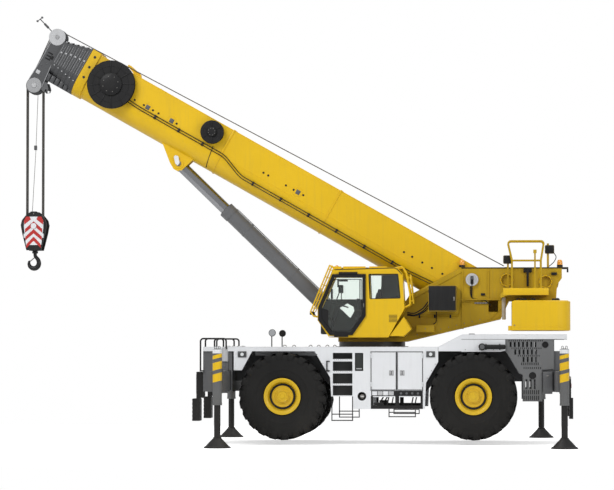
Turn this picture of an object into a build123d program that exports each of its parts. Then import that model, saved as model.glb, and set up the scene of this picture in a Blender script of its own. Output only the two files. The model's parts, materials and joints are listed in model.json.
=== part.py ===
from build123d import *
import math
import os

# Four-wheel rough-terrain crane with a telescopic boom, standing on its outriggers.
# Millimetres. The front points to -X, the operator's side to -Y, up is +Z, and the floats
# stand on z = 0. Places along X are written from the slewing axis; save() moves each
# finished piece so that the model's origin lies under the middle of the whole machine.
SLEW_X = 1668

# ---------------------------------------------------------------- clearances
SEAT = 0.3  # between pieces that rest on each other and are not joined
THIN_BAR_R = 26
RUN = 8  # between pieces that move past each other
PIN_FIT = 0.05  # radial, round a pin in its bore

# ---------------------------------------------------------------- wheels and axles
WHEEL_Z = 1030
WHEEL_RADIUS = 935
TYRE_WIDTH = 750
TRACK = 2550
FRONT_AXLE_X = -1857
REAR_AXLE_X = 2224
RIM_BASE_R = 330
RIM_FLANGE_R = 392
RIM_HALF = 292
RIM_FLANGE = 38
RIM_WALL = 16
HUB_R = 245
HUB_CAP_R = 122
HUB_FACE = 215
HUB_CAP_FACE = 265
TREAD_HALF = 300
LUGS = 22
GAP_R = 892
KINGPIN_INSET = 250
KNUCKLE_R = 105
KNUCKLE_HALF = 185
YOKE_PLATE = 70
AXLE_R = 130
DIFFERENTIAL_R = 285

# ---------------------------------------------------------------- chassis
HALF_WIDTH = 1500
SKIN = 40
FRAME_HALF = 500
FRAME_PLATE = 60
FRAME_BOTTOM = 1350
FRAME_BELLY = 1050
DECK_BOTTOM = 1996
DECK_TOP = 2088
DECK_FRONT_X = -3565
DECK_REAR_X = 1472
HOOD_FRONT_X = 1988
HOOD_REAR_X = 4214
HOOD_TOP = 2355
HOOD_SIDE_Z = 2250
HOOD_PANEL_X = 2900
CABINET_X = (-812, 1189)
CABINET_BOTTOM = 764
TANK_X = (-730, 1120)
TANK_BOTTOM = 1060

# ---------------------------------------------------------------- outriggers
BOX_Z = (1130, 1996)
BOX_HALF = HALF_WIDTH - SKIN
BOX_END = 24
FRONT_BOX_X = (-3567, -2940)
REAR_BOX_X = (3526, 4225)
BEAM_WIDE = 260
BEAM_Z = (1160, 1580)
BEAM_INNER = 550
JACK_Y = 3650
JACK_TUBE_R = 95
JACK_TUBE_Z = (884, 2043)
JACK_ROD_R = 67
FLOAT_R = 280
FLOAT_HIGH = 216
# name, side (1 is the operator's side), middle of the beam and middle of the jack along X
OUTRIGGERS = [
    ("front_left", 1, -3110, -3048),
    ("front_right", -1, -3405, -3433),
    ("rear_left", 1, 4070, 4108),
    ("rear_right", -1, 3710, 3738),
]

# ---------------------------------------------------------------- slewing superstructure
RING_OUTER_R = 722
RING_INNER_R = 560
RING_HIGH = 112
TABLE_Z = DECK_TOP + RING_HIGH + SEAT
TABLE_PLATE = 50
PLATE_OUT = 500
PLATE_IN = 440
TOP_Z = 3812
FOOT_X = 2183
FOOT_Z = 3524
FOOT_PIN_R = 90
COUNTERWEIGHT_X = (3046, 4295)
COUNTERWEIGHT_Z = (2440, 3084)
COUNTERWEIGHT_HALF = 1400
COUNTERWEIGHT_CORNER = 320
COUNTERWEIGHT_BEVEL = 60
WINCHES = [(2941, 3537), (3777, 3498)]
WINCH_FLANGE_R = 285
WINCH_DRUM_R = 190
WINCH_HUB_R = 140

# ---------------------------------------------------------------- cab
CAB_OUT = 1480
CAB_IN = 560
CAB_WALL = 50
CAB_BOTTOM = 2291
DOOR_THICK = 35
DOOR_GAP = 6
GLASS = 12

# ---------------------------------------------------------------- boom
BOOM_ANGLE = 29.6
BOOM_WIDE = 800
BOOM_HIGH = 1042
BOOM_MIDDLE = -211
BOOM_WALL = 10
BOOM_STEP = 55
BOOM_REAR = -400
BASE_COLLAR = 210
BASE_COLLAR_PROUD = 30
BOOM_FRONT = 9720
SECTIONS = 7
COLLAR_LONG = 112
COLLAR_GAP = 6
COLLAR_PROUD = 34
INNER_START = 430
NOSE_U = 10514
NOSE_V = -991
NOSE_R = 172
NOSE_SHEAVE_R = 190
TOP_SHEAVE = (10590, 185)
TOP_SHEAVE_R = 188
TOP_SHEAVE_YS = (-80, 80)
SHEAVE_GROOVE = 26
SHEAVE_YS = (-120, -40, 40, 120)
SHEAVE_THICK = 50
SHEAVE_HUB_R = 60

# ---------------------------------------------------------------- lift cylinder and hook
LIFT_FOOT = (-500, 2465)
LIFT_HEAD = (6870, -925)
LIFT_PIN_R = 70
LIFT_EAR = (135, 175)
BARREL_R = 165
BARREL_BORE_R = 140
BARREL_LONG = 3790
GLAND_PROUD = 12
ROD_R = 125
ROD_INNER = 1240
PISTON_LONG = 45
BLOCK_Z = (4200, 5070)
BLOCK_PLATE_Y = 195
BLOCK_PLATE = 40
BLOCK_SHEAVE_Z = 4750
FALL_R = 11
FALL_TOP = 7845
FALL_X = NOSE_SHEAVE_R - SHEAVE_GROOVE + FALL_R + SEAT

# ---------------------------------------------------------------- planes
SIDE = Plane(origin=(0, 0, 0), x_dir=(1, 0, 0), z_dir=(0, -1, 0))
ANGLE = math.radians(BOOM_ANGLE)
ALONG = Vector(-math.cos(ANGLE), 0, math.sin(ANGLE))
BOOM = Plane(origin=(FOOT_X, 0, FOOT_Z), x_dir=ALONG, z_dir=(0, 1, 0))


def boom_point(u, v, y=0.0):
    """The place of a point given along the boom, above its foot pin and across it."""
    return BOOM.from_local_coords((u, v, y))


def boom_station(u):
    """A plane across the boom at a distance from the foot pin."""
    return Plane(origin=boom_point(u, 0), x_dir=(0, -1, 0), z_dir=ALONG)


# ---------------------------------------------------------------- shared operations
def save(builder, label, place=Location()):
    """Name a finished piece, put it in its place from the model's origin and write it."""
    piece = Location((SLEW_X, 0, 0)) * place * builder.part
    piece.label = label
    export_step(piece, f"parts/{label}.step")


def slab(plane, points, heights, mode=Mode.ADD):
    """Add a plate with an outline of points between two heights above a plane."""
    low, high = sorted(heights)
    with BuildSketch(plane.offset(low)) as face:
        with BuildLine():
            Polyline(*points, close=True)
        make_face()
    extrude(face.sketch, amount=high - low, mode=mode)


def disc(plane, centre, radius, heights, mode=Mode.ADD):
    """Add a round plate or a pin between two heights above a plane."""
    low, high = sorted(heights)
    with BuildSketch(plane.offset(low)) as face:
        with Locations(centre):
            Circle(radius)
    extrude(face.sketch, amount=high - low, mode=mode)


def block(xs, ys, zs, mode=Mode.ADD):
    """Add a box that spans the given x, y and z pairs."""
    spans = [sorted(span) for span in (xs, ys, zs)]
    with Locations(tuple(sum(span) / 2 for span in spans)):
        Box(*[span[1] - span[0] for span in spans], mode=mode)


def bar_section(radius):
    """Draw the section of a round bar; a thin one gets six flats to keep its faces few."""
    if radius > THIN_BAR_R:
        Circle(radius)
    else:
        RegularPolygon(radius, 6)


def bar(start, end, radius, mode=Mode.ADD):
    """Add a round bar between two points."""
    line = Vector(end) - Vector(start)
    with BuildSketch(Plane(origin=start, z_dir=line)) as face:
        bar_section(radius)
    extrude(face.sketch, amount=line.length, mode=mode)


def rail(points, bend, radius):
    """Add a round rail bent along points."""
    with BuildLine() as path:
        FilletPolyline(*points, radius=bend)
    with BuildSketch(Plane(origin=path.line @ 0, z_dir=path.line % 0)) as face:
        bar_section(radius)
    sweep(face.sketch, path=path.line)


def revolved(plane, points, mode=Mode.ADD):
    """Add a turned body: (along, radius) points turned about the plane's x axis."""
    with BuildSketch(plane) as face:
        with BuildLine():
            Polyline(*points, close=True)
        make_face()
    revolve(face.sketch, axis=Axis(plane.origin, plane.x_dir), mode=mode)


def mirrored(side, span):
    """A span across the machine, given outwards, on one side as y values."""
    return (-side * span[0], -side * span[1])


# ---------------------------------------------------------------- wheels
def wheel_plane(x, side):
    """A plane through the wheel's axis: x points outwards, y up."""
    return Plane(origin=(x, -side * TRACK / 2, WHEEL_Z), x_dir=(0, -side, 0), z_dir=(-side, 0, 0))


WHEELS = [
    ("front_left", FRONT_AXLE_X, 1),
    ("front_right", FRONT_AXLE_X, -1),
    ("rear_left", REAR_AXLE_X, 1),
    ("rear_right", REAR_AXLE_X, -1),
]

def tread_ring(turn):
    """The tread's lugs and gaps seen along the wheel's axis, turned by an angle."""
    corners = []
    for lug in range(LUGS):
        for share, radius in ((0, WHEEL_RADIUS), (0.6, WHEEL_RADIUS), (0.66, GAP_R), (0.94, GAP_R)):
            angle = math.radians(turn + (lug + share) * 360 / LUGS)
            corners.append((radius * math.cos(angle), radius * math.sin(angle)))
    with BuildSketch(Plane.YZ) as ring:
        with BuildLine():
            Polyline(*corners, close=True)
        make_face()
        Circle(GAP_R - 60, mode=Mode.SUBTRACT)
    return ring.sketch


bead = RIM_HALF - SEAT
half = TYRE_WIDTH / 2
with BuildPart() as tyre:
    for side in (1, -1):
        extrude(tread_ring(90 / LUGS * (1 - side)), amount=side * TREAD_HALF)
    with BuildSketch(Plane.XY) as tyre_face:
        with BuildLine():
            Polyline(
                (bead, 0),
                (bead, RIM_FLANGE_R + 12),
                (half - 30, 500),
                (half, 640),
                (half - 12, 790),
                (half - 38, GAP_R - 40),
                (TREAD_HALF, GAP_R - 6),
                (-TREAD_HALF, GAP_R - 6),
                (38 - half, GAP_R - 40),
                (12 - half, 790),
                (-half, 640),
                (30 - half, 500),
                (-bead, RIM_FLANGE_R + 12),
                (-bead, 0),
                close=True,
            )
        make_face()
    revolve(tyre_face.sketch, axis=Axis.X)
    with Locations(Plane.YZ.location):
        Cylinder(RIM_BASE_R + SEAT, TYRE_WIDTH + 10, mode=Mode.SUBTRACT)

for name, x, side in WHEELS:
    plane = wheel_plane(x, side)
    save(tyre, f"tyre_{name}", plane.location)

    spindle_end = -10
    with BuildPart() as rim:
        revolved(
            plane,
            [
                (spindle_end + SEAT, 0),
                (HUB_CAP_FACE, 0),
                (HUB_CAP_FACE - 10, HUB_CAP_R),
                (HUB_FACE, HUB_CAP_R + 3),
                (HUB_FACE - 8, HUB_R),
                (HUB_FACE - 65, HUB_R + 3),
                (HUB_FACE - 65, HUB_R + 17),
                (HUB_FACE, HUB_R + 45),
                (RIM_HALF + 10, RIM_BASE_R - RIM_WALL),
                (RIM_HALF + RIM_FLANGE, RIM_FLANGE_R - 32),
                (RIM_HALF + RIM_FLANGE, RIM_FLANGE_R),
                (RIM_HALF, RIM_FLANGE_R),
                (RIM_HALF, RIM_BASE_R),
                (-RIM_HALF, RIM_BASE_R),
                (-RIM_HALF, RIM_FLANGE_R),
                (-RIM_HALF - RIM_FLANGE, RIM_FLANGE_R),
                (-RIM_HALF - RIM_FLANGE, RIM_BASE_R - RIM_WALL),
                (HUB_FACE - 125, RIM_BASE_R - RIM_WALL),
                (HUB_FACE - 125, HUB_R - 45),
                (spindle_end + SEAT, HUB_R - 45),
            ],
        )
    save(rim, f"rim_{name}")

    kingpin_y = TRACK / 2 - KINGPIN_INSET
    with BuildPart() as knuckle:
        disc(
            Plane.XY.offset(WHEEL_Z),
            (x, -side * kingpin_y),
            KNUCKLE_R,
            (-KNUCKLE_HALF, KNUCKLE_HALF),
        )
        revolved(
            plane,
            [
                (-KINGPIN_INSET, 0),
                (spindle_end, 0),
                (spindle_end, 110),
                (-90, 110),
                (-120, 160),
                (-KINGPIN_INSET + 60, 160),
                (-KINGPIN_INSET, 90),
            ],
        )
    save(knuckle, f"knuckle_{name}")

for name, x in [("front", FRONT_AXLE_X), ("rear", REAR_AXLE_X)]:
    kingpin_y = TRACK / 2 - KINGPIN_INSET
    yoke_in = kingpin_y - KNUCKLE_R - 60
    with BuildPart() as axle:
        revolved(
            Plane(origin=(x, 0, WHEEL_Z), x_dir=(0, 1, 0), z_dir=(1, 0, 0)),
            [
                (-yoke_in, 0),
                (-yoke_in, AXLE_R),
                (-320, AXLE_R + 20),
                (-130, DIFFERENTIAL_R),
                (130, DIFFERENTIAL_R),
                (320, AXLE_R + 20),
                (yoke_in, AXLE_R),
                (yoke_in, 0),
            ],
        )
        for side in (1, -1):
            block(
                (x - 110, x + 110),
                mirrored(side, (yoke_in - 10, yoke_in + 40)),
                (WHEEL_Z - KNUCKLE_HALF - YOKE_PLATE, WHEEL_Z + KNUCKLE_HALF + YOKE_PLATE),
            )
            for up in (1, -1):
                near = WHEEL_Z + up * (KNUCKLE_HALF + SEAT)
                far = WHEEL_Z + up * (KNUCKLE_HALF + YOKE_PLATE)
                block((x - 85, x + 85), mirrored(side, (yoke_in, kingpin_y)), (near, far))
                low, high = sorted((near, far))
                disc(Plane.XY, (x, -side * kingpin_y), 85, (low, high))
            block(
                (x - 130, x + 130),
                mirrored(side, (FRAME_HALF - 80, FRAME_HALF + 20)),
                (WHEEL_Z + 20, FRAME_BOTTOM - SEAT),
            )
    save(axle, f"axle_{name}")

# ---------------------------------------------------------------- chassis frame
with BuildPart() as chassis_frame:
    for side in (1, -1):
        slab(
            SIDE,
            [
                (FRONT_BOX_X[1], FRAME_BOTTOM),
                (-1000, FRAME_BOTTOM),
                (-700, FRAME_BELLY),
                (1100, FRAME_BELLY),
                (1400, FRAME_BOTTOM),
                (REAR_BOX_X[0], FRAME_BOTTOM),
                (REAR_BOX_X[0], 2180),
                (DECK_REAR_X + 80, 2060),
                (DECK_REAR_X + 80, DECK_BOTTOM),
                (FRONT_BOX_X[1], DECK_BOTTOM),
            ],
            (side * (FRAME_HALF - FRAME_PLATE), side * FRAME_HALF),
        )
    inside = (FRAME_PLATE - FRAME_HALF, FRAME_HALF - FRAME_PLATE)
    block((FRONT_BOX_X[1], DECK_REAR_X), inside, (DECK_BOTTOM - 40, DECK_BOTTOM))
    block((-700, 1100), inside, (FRAME_BELLY, FRAME_BELLY + 40))
    for x in (-2500, -1000, 1100):
        block((x, x + 40), inside, (FRAME_BOTTOM, DECK_BOTTOM))
save(chassis_frame, "chassis_frame")

with BuildPart() as deck:
    block((DECK_FRONT_X, DECK_REAR_X), (-HALF_WIDTH, HALF_WIDTH), (DECK_BOTTOM, DECK_TOP))
    for side in (1, -1):
        block((-2500, -1170), mirrored(side, (740, 780)), (DECK_BOTTOM - 95, DECK_BOTTOM))
save(deck, "deck")

with BuildPart() as slew_ring:
    disc(Plane.XY, (0, 0), RING_OUTER_R, (DECK_TOP, DECK_TOP + RING_HIGH))
    disc(Plane.XY, (0, 0), RING_INNER_R, (DECK_TOP, DECK_TOP + RING_HIGH), Mode.SUBTRACT)
save(slew_ring, "slew_ring")

# ---------------------------------------------------------------- body panels and cabinets
DOOR_X = [(43, 574), (606, 1137)]
DOOR_Z = (1173, 1980)
DOOR_PLAY = 5
CABINET_DEEP = 560
DOOR_PIN_R = 10
DOOR_PIN_OUT = 16
DOOR_HINGE_Z = [(1240, 1300), (1850, 1910)]
OPEN_BAY_X = (75, 1105)
OPEN_BAY_Z = (835, 1019)
STEP_BOTTOM = 1030
PORT = (-156, 1034)
PORT_R = 86
STEP_X = (-778, -358)
STEP_Z = [(1829, 1961), (1574, 1777), (1306, 1522), (1051, 1265)]
STEP_DEEP = 230

def skin_ys(side):
    """The y span of the side skin on one side."""
    return mirrored(side, (HALF_WIDTH - SKIN, HALF_WIDTH))


with BuildPart() as body_panels:
    for side in (1, -1):
        skin = (side * (HALF_WIDTH - SKIN), side * HALF_WIDTH)
        slab(
            SIDE,
            [(-2904, 1996), (-2904, 1589), (-2729, 1589), (-2510, 1996)],
            skin,
        )
        slab(
            SIDE,
            [
                (-1170, DECK_BOTTOM),
                (-836, 1437),
                (CABINET_X[0], STEP_BOTTOM),
                (STEP_X[1] + 12, STEP_BOTTOM),
                (STEP_X[1] + 12, CABINET_BOTTOM),
                (CABINET_X[1], CABINET_BOTTOM),
                (1212, 1323),
                (1472, 1770),
                (1472, DECK_BOTTOM),
            ],
            skin,
        )
        block(TANK_X, mirrored(side, (FRAME_HALF, HALF_WIDTH - SKIN)), (TANK_BOTTOM, DECK_BOTTOM))
        for zs in STEP_Z:
            block(STEP_X, mirrored(side, (HALF_WIDTH - STEP_DEEP, HALF_WIDTH)), zs, Mode.SUBTRACT)
        block(OPEN_BAY_X, skin_ys(side), OPEN_BAY_Z, Mode.SUBTRACT)
        disc(SIDE, PORT, PORT_R, skin, Mode.SUBTRACT)
        block((-306, -126), skin_ys(side), (1574, 1961), Mode.SUBTRACT)
    outer = (-HALF_WIDTH, CABINET_DEEP - HALF_WIDTH)
    for xs in DOOR_X:
        block(
            (xs[0] - DOOR_PLAY, xs[1] + DOOR_PLAY),
            (-HALF_WIDTH, SKIN - HALF_WIDTH),
            (DOOR_Z[0] - DOOR_PLAY, DOOR_Z[1] + DOOR_PLAY),
            Mode.SUBTRACT,
        )
        block(
            (xs[0] + 10, xs[1] - 10),
            (SKIN - HALF_WIDTH, CABINET_DEEP - HALF_WIDTH),
            (DOOR_Z[0] + 10, DOOR_Z[1] - 10),
            Mode.SUBTRACT,
        )
    pin_y = HALF_WIDTH + DOOR_PIN_OUT
    for hinge_x, back in ((DOOR_X[0][0], -1), (DOOR_X[1][1], 1)):
        for low, high in DOOR_HINGE_Z:
            zs = (high + SEAT, high + 40)
            disc(Plane.XY, (hinge_x, -pin_y), DOOR_PIN_R, zs)
            block(
                (hinge_x, hinge_x + back * 30),
                (DOOR_PIN_R - 4 - pin_y, -HALF_WIDTH),
                zs,
            )
save(body_panels, "body_panels")

for name, xs, hinge_x, back in (
    ("front", DOOR_X[0], DOOR_X[0][0], 1),
    ("rear", DOOR_X[1], DOOR_X[1][1], -1),
):
    with BuildPart() as cabinet_door:
        block(xs, (-HALF_WIDTH, SKIN - SEAT - HALF_WIDTH), DOOR_Z)
        for zs in DOOR_HINGE_Z:
            disc(Plane.XY, (hinge_x, -pin_y), DOOR_PIN_R, zs)
            block(
                (hinge_x, hinge_x + back * 40),
                (DOOR_PIN_R - 4 - pin_y, -HALF_WIDTH),
                zs,
            )
    save(cabinet_door, f"cabinet_door_{name}")

with BuildPart() as hood:
    slab(
        SIDE,
        [
            (DECK_REAR_X, DECK_BOTTOM),
            (DECK_REAR_X, DECK_TOP),
            (HOOD_FRONT_X - 30, HOOD_TOP - 15),
            (HOOD_FRONT_X, HOOD_TOP),
            (HOOD_REAR_X, HOOD_TOP),
            (HOOD_REAR_X, HOOD_SIDE_Z),
            (HOOD_FRONT_X, HOOD_SIDE_Z),
            (HOOD_FRONT_X, DECK_BOTTOM),
        ],
        (-HALF_WIDTH, HALF_WIDTH),
    )
    slab(
        SIDE,
        [
            (DECK_REAR_X + SKIN, DECK_BOTTOM),
            (DECK_REAR_X + SKIN, DECK_TOP - 20),
            (HOOD_FRONT_X, HOOD_TOP - SKIN - 30),
            (HOOD_REAR_X - SKIN, HOOD_TOP - SKIN),
            (HOOD_REAR_X - SKIN, HOOD_SIDE_Z),
            (HOOD_FRONT_X, HOOD_SIDE_Z),
            (HOOD_FRONT_X, DECK_BOTTOM),
        ],
        (SKIN - HALF_WIDTH, HALF_WIDTH - SKIN),
        Mode.SUBTRACT,
    )
    for side in (1, -1):
        slab(
            SIDE,
            [
                (HOOD_FRONT_X - 20, 1985),
                (HOOD_FRONT_X - 20, HOOD_SIDE_Z + 10),
                (HOOD_PANEL_X, HOOD_SIDE_Z + 10),
                (HOOD_PANEL_X, 2011),
                (HOOD_PANEL_X - 100, 1985),
            ],
            (side * (HALF_WIDTH - SKIN), side * HALF_WIDTH),
        )
save(hood, "hood")

SLOT = 40
SLOT_PITCH = 88
SLOT_ROWS = [
    # first slot, number of slots, bottom and top
    (2995, 7, 2085, 2195),
    (3095, 6, 1925, 2035),
    (3270, 4, 1765, 1875),
    (3330, 3, 1190, 1400),
]
with BuildPart() as grille_panels:
    for side in (1, -1):
        skin = (side * (HALF_WIDTH - SKIN), side * HALF_WIDTH)
        # the right rear beam leaves no room for the panel's full length on its own side
        foot_x = 3685 if side == 1 else OUTRIGGERS[3][2] - BEAM_WIDE / 2 - 2 * RUN
        slab(
            SIDE,
            [
                (HOOD_PANEL_X + SEAT, HOOD_SIDE_Z),
                (3942, HOOD_SIDE_Z),
                (3942, 1610),
                (foot_x, 1610),
                (foot_x, 929),
                (3267, 929),
                (3267, 1494),
                (3192, 1520),
                (2920, 1985),
                (HOOD_PANEL_X + SEAT, 1985),
            ],
            skin,
        )
        for x, number, low, high in SLOT_ROWS:
            for step in range(number):
                start = x + step * SLOT_PITCH
                block((start, start + SLOT), skin_ys(side), (low, high), Mode.SUBTRACT)
        disc(SIDE, (3750, 2135), 70, skin, Mode.SUBTRACT)
    block((3705, 3895), (-HALF_WIDTH - 60, -BOX_HALF - SEAT), (1089, 1557))
save(grille_panels, "grille_panels")

with BuildPart() as engine:
    block((2450, 3480), (-380, 380), (1340, 2230))
    for x in (2550, 3280):
        block((x, x + 100), (FRAME_PLATE - FRAME_HALF, FRAME_HALF - FRAME_PLATE), (1400, 1460))
save(engine, "engine")

with BuildPart() as exhaust:
    out = -HALF_WIDTH - 70
    bar((2380, out, 2090), (2900, out, 2090), 49)
    revolved(
        Plane(origin=(2380, out, 2090), x_dir=(-1, 0, 0), z_dir=(0, -1, 0)),
        [(-70, 0), (-70, 62), (25, 62), (25, 0)],
    )
    bar((2860, out, 2090), (2860, -HALF_WIDTH, 2090), 49)
save(exhaust, "exhaust")

# ---------------------------------------------------------------- outriggers
with BuildPart() as outrigger_boxes:
    for xs, beams in ((FRONT_BOX_X, OUTRIGGERS[:2]), (REAR_BOX_X, OUTRIGGERS[2:])):
        block(xs, (-BOX_HALF, BOX_HALF), BOX_Z)
        for name, side, beam_x, jack_x in beams:
            half = BEAM_WIDE / 2 + RUN
            block(
                (beam_x - half, beam_x + half),
                mirrored(side, (BOX_END - BOX_HALF, BOX_HALF)),
                (BEAM_Z[0] - SEAT, BEAM_Z[1] + RUN),
                Mode.SUBTRACT,
            )
save(outrigger_boxes, "outrigger_boxes")

for name, side, beam_x, jack_x in OUTRIGGERS:
    with BuildPart() as beam:
        block(
            (beam_x - BEAM_WIDE / 2, beam_x + BEAM_WIDE / 2),
            mirrored(side, (BEAM_INNER, JACK_Y - 40)),
            BEAM_Z,
        )
        disc(Plane.XY, (jack_x, -side * JACK_Y), JACK_TUBE_R, JACK_TUBE_Z)
        block(
            (jack_x - JACK_TUBE_R - 10, jack_x + JACK_TUBE_R + 10),
            mirrored(side, (JACK_Y - JACK_TUBE_R - 40, JACK_Y - 40)),
            (BEAM_Z[0] - 30, BEAM_Z[1] + 60),
        )
        disc(
            Plane.XY,
            (jack_x, -side * JACK_Y),
            JACK_ROD_R + SEAT,
            (JACK_TUBE_Z[0], JACK_TUBE_Z[1] - 30),
            Mode.SUBTRACT,
        )
    save(beam, f"outrigger_beam_{name}")

    with BuildPart() as leg:
        revolved(
            Plane(origin=(jack_x, -side * JACK_Y, 0), x_dir=(0, 0, 1), z_dir=(1, 0, 0)),
            [
                (0, 0),
                (0, FLOAT_R),
                (22, FLOAT_R),
                (45, FLOAT_R - 40),
                (175, 115),
                (FLOAT_HIGH, JACK_ROD_R + 12),
                (FLOAT_HIGH, JACK_ROD_R),
                (1320, JACK_ROD_R),
                (1320, 0),
            ],
        )
    save(leg, f"jack_leg_{name}")

# ---------------------------------------------------------------- steps and rails on the chassis
RAIL_R = 18
RAIL_TOP = 2266
HANGING_STEPS = [
    (-799, STEP_X[1] + 1, 518, STEP_BOTTOM),
    (422, 985, 599, CABINET_BOTTOM),
]
with BuildPart() as steps_and_rails:
    for side in (1, -1):
        for x0, x1, low, high in HANGING_STEPS:
            for x in (x0, x1):
                block((x - 10, x + 10), mirrored(side, (1440, 1490)), (low, high))
            for z in (low, (low + CABINET_BOTTOM) / 2 + 10):
                block((x0 - 10, x1 + 10), mirrored(side, (1400, 1490)), (z - 10, z + 10))
        out = -side * (HALF_WIDTH + RAIL_R + 4)
        foot = 1576
        hoop = [(DECK_FRONT_X - 53, foot), (DECK_FRONT_X - 53, RAIL_TOP), (-3066, RAIL_TOP)]
        rail([(x, out, z) for x, z in hoop] + [(-3066, out, DECK_BOTTOM + 40)], 60, RAIL_R)
        block((-3080, -3052), mirrored(side, (HALF_WIDTH, HALF_WIDTH + 10)), (2030, 2060))
        block((DECK_FRONT_X - 71, FRONT_BOX_X[0] + 20), (out, -side * BOX_HALF), (foot - 14, foot + 14))
        inner = -side * 1250
        hoop = [(-3540, DECK_TOP), (-3540, RAIL_TOP), (-3150, RAIL_TOP), (-3150, DECK_TOP)]
        rail([(x, inner, z) for x, z in hoop], 60, RAIL_R)
        block((-3720, FRONT_BOX_X[0]), mirrored(side, (1000, 1400)), (994, 1553))
        block((-3806, -3643), mirrored(side, (1000, 1400)), (504, 971))
        block((-3720, -3660), mirrored(side, (1000, 1400)), (960, 1000))
        block((REAR_BOX_X[1], 4300), mirrored(side, (1000, 1400)), (980, 1400))
        block((4262, 4342), mirrored(side, (1000, 1400)), (556, 1000))
        pole = -side * (HALF_WIDTH - 30)
        bar((-2089, pole, DECK_TOP), (-2089, pole, 2320), 12)
        disc(SIDE, (-2080, 2390), 75, (side * 1440, side * 1490))
        skin = (side * HALF_WIDTH, side * (HALF_WIDTH + 30))
        grab_x, grab_z, grab = (-905, -842), (1577, 1780), 12
        for z in grab_z:
            block(grab_x, mirrored(side, (HALF_WIDTH, HALF_WIDTH + 30)), (z - grab, z + grab))
        block(
            (grab_x[0] - grab, grab_x[0] + grab),
            mirrored(side, (HALF_WIDTH, HALF_WIDTH + 30)),
            (grab_z[0] - grab, grab_z[1] + grab),
        )
        for x, z in ((-2723, 1929), (1313, 1931)):
            block((x - 91, x + 91), mirrored(side, (HALF_WIDTH, HALF_WIDTH + 22)), (z - 62, z + 62))
save(steps_and_rails, "steps_and_rails")

# ---------------------------------------------------------------- turntable
TABLE_REAR_X = 4129
TAIL_X = 4004
TAIL_Z = (3430, 3575)
FRAME_FRONT_X = -716
WINDOW_R = 118
WINDOW_RIM = 34
BOSS_R = 150
BLACK_BOX = ((1256, 1860), (2852, 3404))
PLATE_SLOPE = [
    (FRAME_FRONT_X, TABLE_Z),
    (760, TABLE_Z),
    (2804, 2690),
    (2990, COUNTERWEIGHT_Z[1]),
]
with BuildPart() as turntable_frame:
    disc(Plane.XY, (0, 0), RING_OUTER_R - 6, (TABLE_Z, TABLE_Z + TABLE_PLATE))
    for side in (1, -1):
        plate = (side * PLATE_IN, side * PLATE_OUT)
        slab(
            SIDE,
            PLATE_SLOPE
            + [
                (TAIL_X, COUNTERWEIGHT_Z[1]),
                (TAIL_X + 20, TAIL_Z[0]),
                (TABLE_REAR_X, TAIL_Z[1]),
                (TABLE_REAR_X, TOP_Z),
                (1952, TOP_Z),
                (831, 3211),
                (760, 3100),
                (300, 2760),
                (FRAME_FRONT_X, 2600),
            ],
            plate,
        )
        for x, z in WINCHES:
            disc(SIDE, (x, z), WINDOW_R + WINDOW_RIM, (side * PLATE_OUT, side * (PLATE_OUT + 22)))
            disc(SIDE, (x, z), WINDOW_R, (side * PLATE_IN, side * (PLATE_OUT + 22)), Mode.SUBTRACT)
        block((2543, 2752), (side * PLATE_IN, side * PLATE_OUT), (2846, 3095), Mode.SUBTRACT)
        for x, low in ((1965, 2480), (2528, 3120), (3360, 3120)):
            block((x, x + 25), mirrored(side, (PLATE_OUT, PLATE_OUT + 30)), (low, TOP_Z - 60))
        block((1900, 2990), mirrored(side, (PLATE_OUT, PLATE_OUT + 30)), (3106, 3130))
        disc(SIDE, (FOOT_X, FOOT_Z), BOSS_R, (side * PLATE_OUT, side * (PLATE_OUT + 40)))
        disc(SIDE, LIFT_FOOT, 150, (side * 180, side * 235))
        block(
            (LIFT_FOOT[0] - 150, LIFT_FOOT[0] + 150),
            mirrored(side, (180, 235)),
            (TABLE_Z, LIFT_FOOT[1]),
        )
    slab(
        SIDE,
        PLATE_SLOPE
        + [
            (2950, COUNTERWEIGHT_Z[1]),
            (2764, 2730),
            (750, TABLE_Z + TABLE_PLATE),
            (FRAME_FRONT_X, TABLE_Z + TABLE_PLATE),
        ],
        (-PLATE_IN, PLATE_IN),
    )
    block((2970, TAIL_X), (-PLATE_IN, PLATE_IN), (COUNTERWEIGHT_Z[1], COUNTERWEIGHT_Z[1] + 46))
    block((TABLE_REAR_X - 40, TABLE_REAR_X), (-PLATE_IN, PLATE_IN), (TAIL_Z[1], TOP_Z - 90))
    disc(SIDE, (FOOT_X, FOOT_Z), FOOT_PIN_R + PIN_FIT, (-900, 900), Mode.SUBTRACT)
    disc(SIDE, LIFT_FOOT, LIFT_PIN_R + PIN_FIT, (-300, 300), Mode.SUBTRACT)
    block(BLACK_BOX[0], (-1250, -PLATE_OUT - 40), BLACK_BOX[1])
    block((1300, 1800), (-PLATE_OUT - 40, -PLATE_OUT), (2950, 3300))
    block((984, 1374), (-PLATE_OUT - 220, -PLATE_OUT), (2405, 2560))
    block((-300, 700), (-CAB_IN - 100, -PLATE_OUT), (TABLE_Z + 5, CAB_BOTTOM))
    slab(SIDE, [(780, 2690), (905, 2477), (740, 2300), (640, 2300)], (PLATE_OUT, CAB_OUT - 60))
    block((TABLE_REAR_X - 10, 4270), (-PLATE_OUT, -PLATE_IN), (TOP_Z - 40, TOP_Z))
save(turntable_frame, "turntable_frame")

with BuildPart() as counterweight:
    block(COUNTERWEIGHT_X, (-COUNTERWEIGHT_HALF, COUNTERWEIGHT_HALF), COUNTERWEIGHT_Z)
    rear = counterweight.edges().filter_by(Axis.Z).group_by(Axis.X)[-1]
    fillet(rear, COUNTERWEIGHT_CORNER)
    chamfer(counterweight.faces().sort_by(Axis.Z)[-1].edges(), COUNTERWEIGHT_BEVEL, 25)
    block((COUNTERWEIGHT_X[0] - 80, COUNTERWEIGHT_X[0] + 20), (-1380, -PLATE_OUT), (2440, 2540))
save(counterweight, "counterweight")

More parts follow.
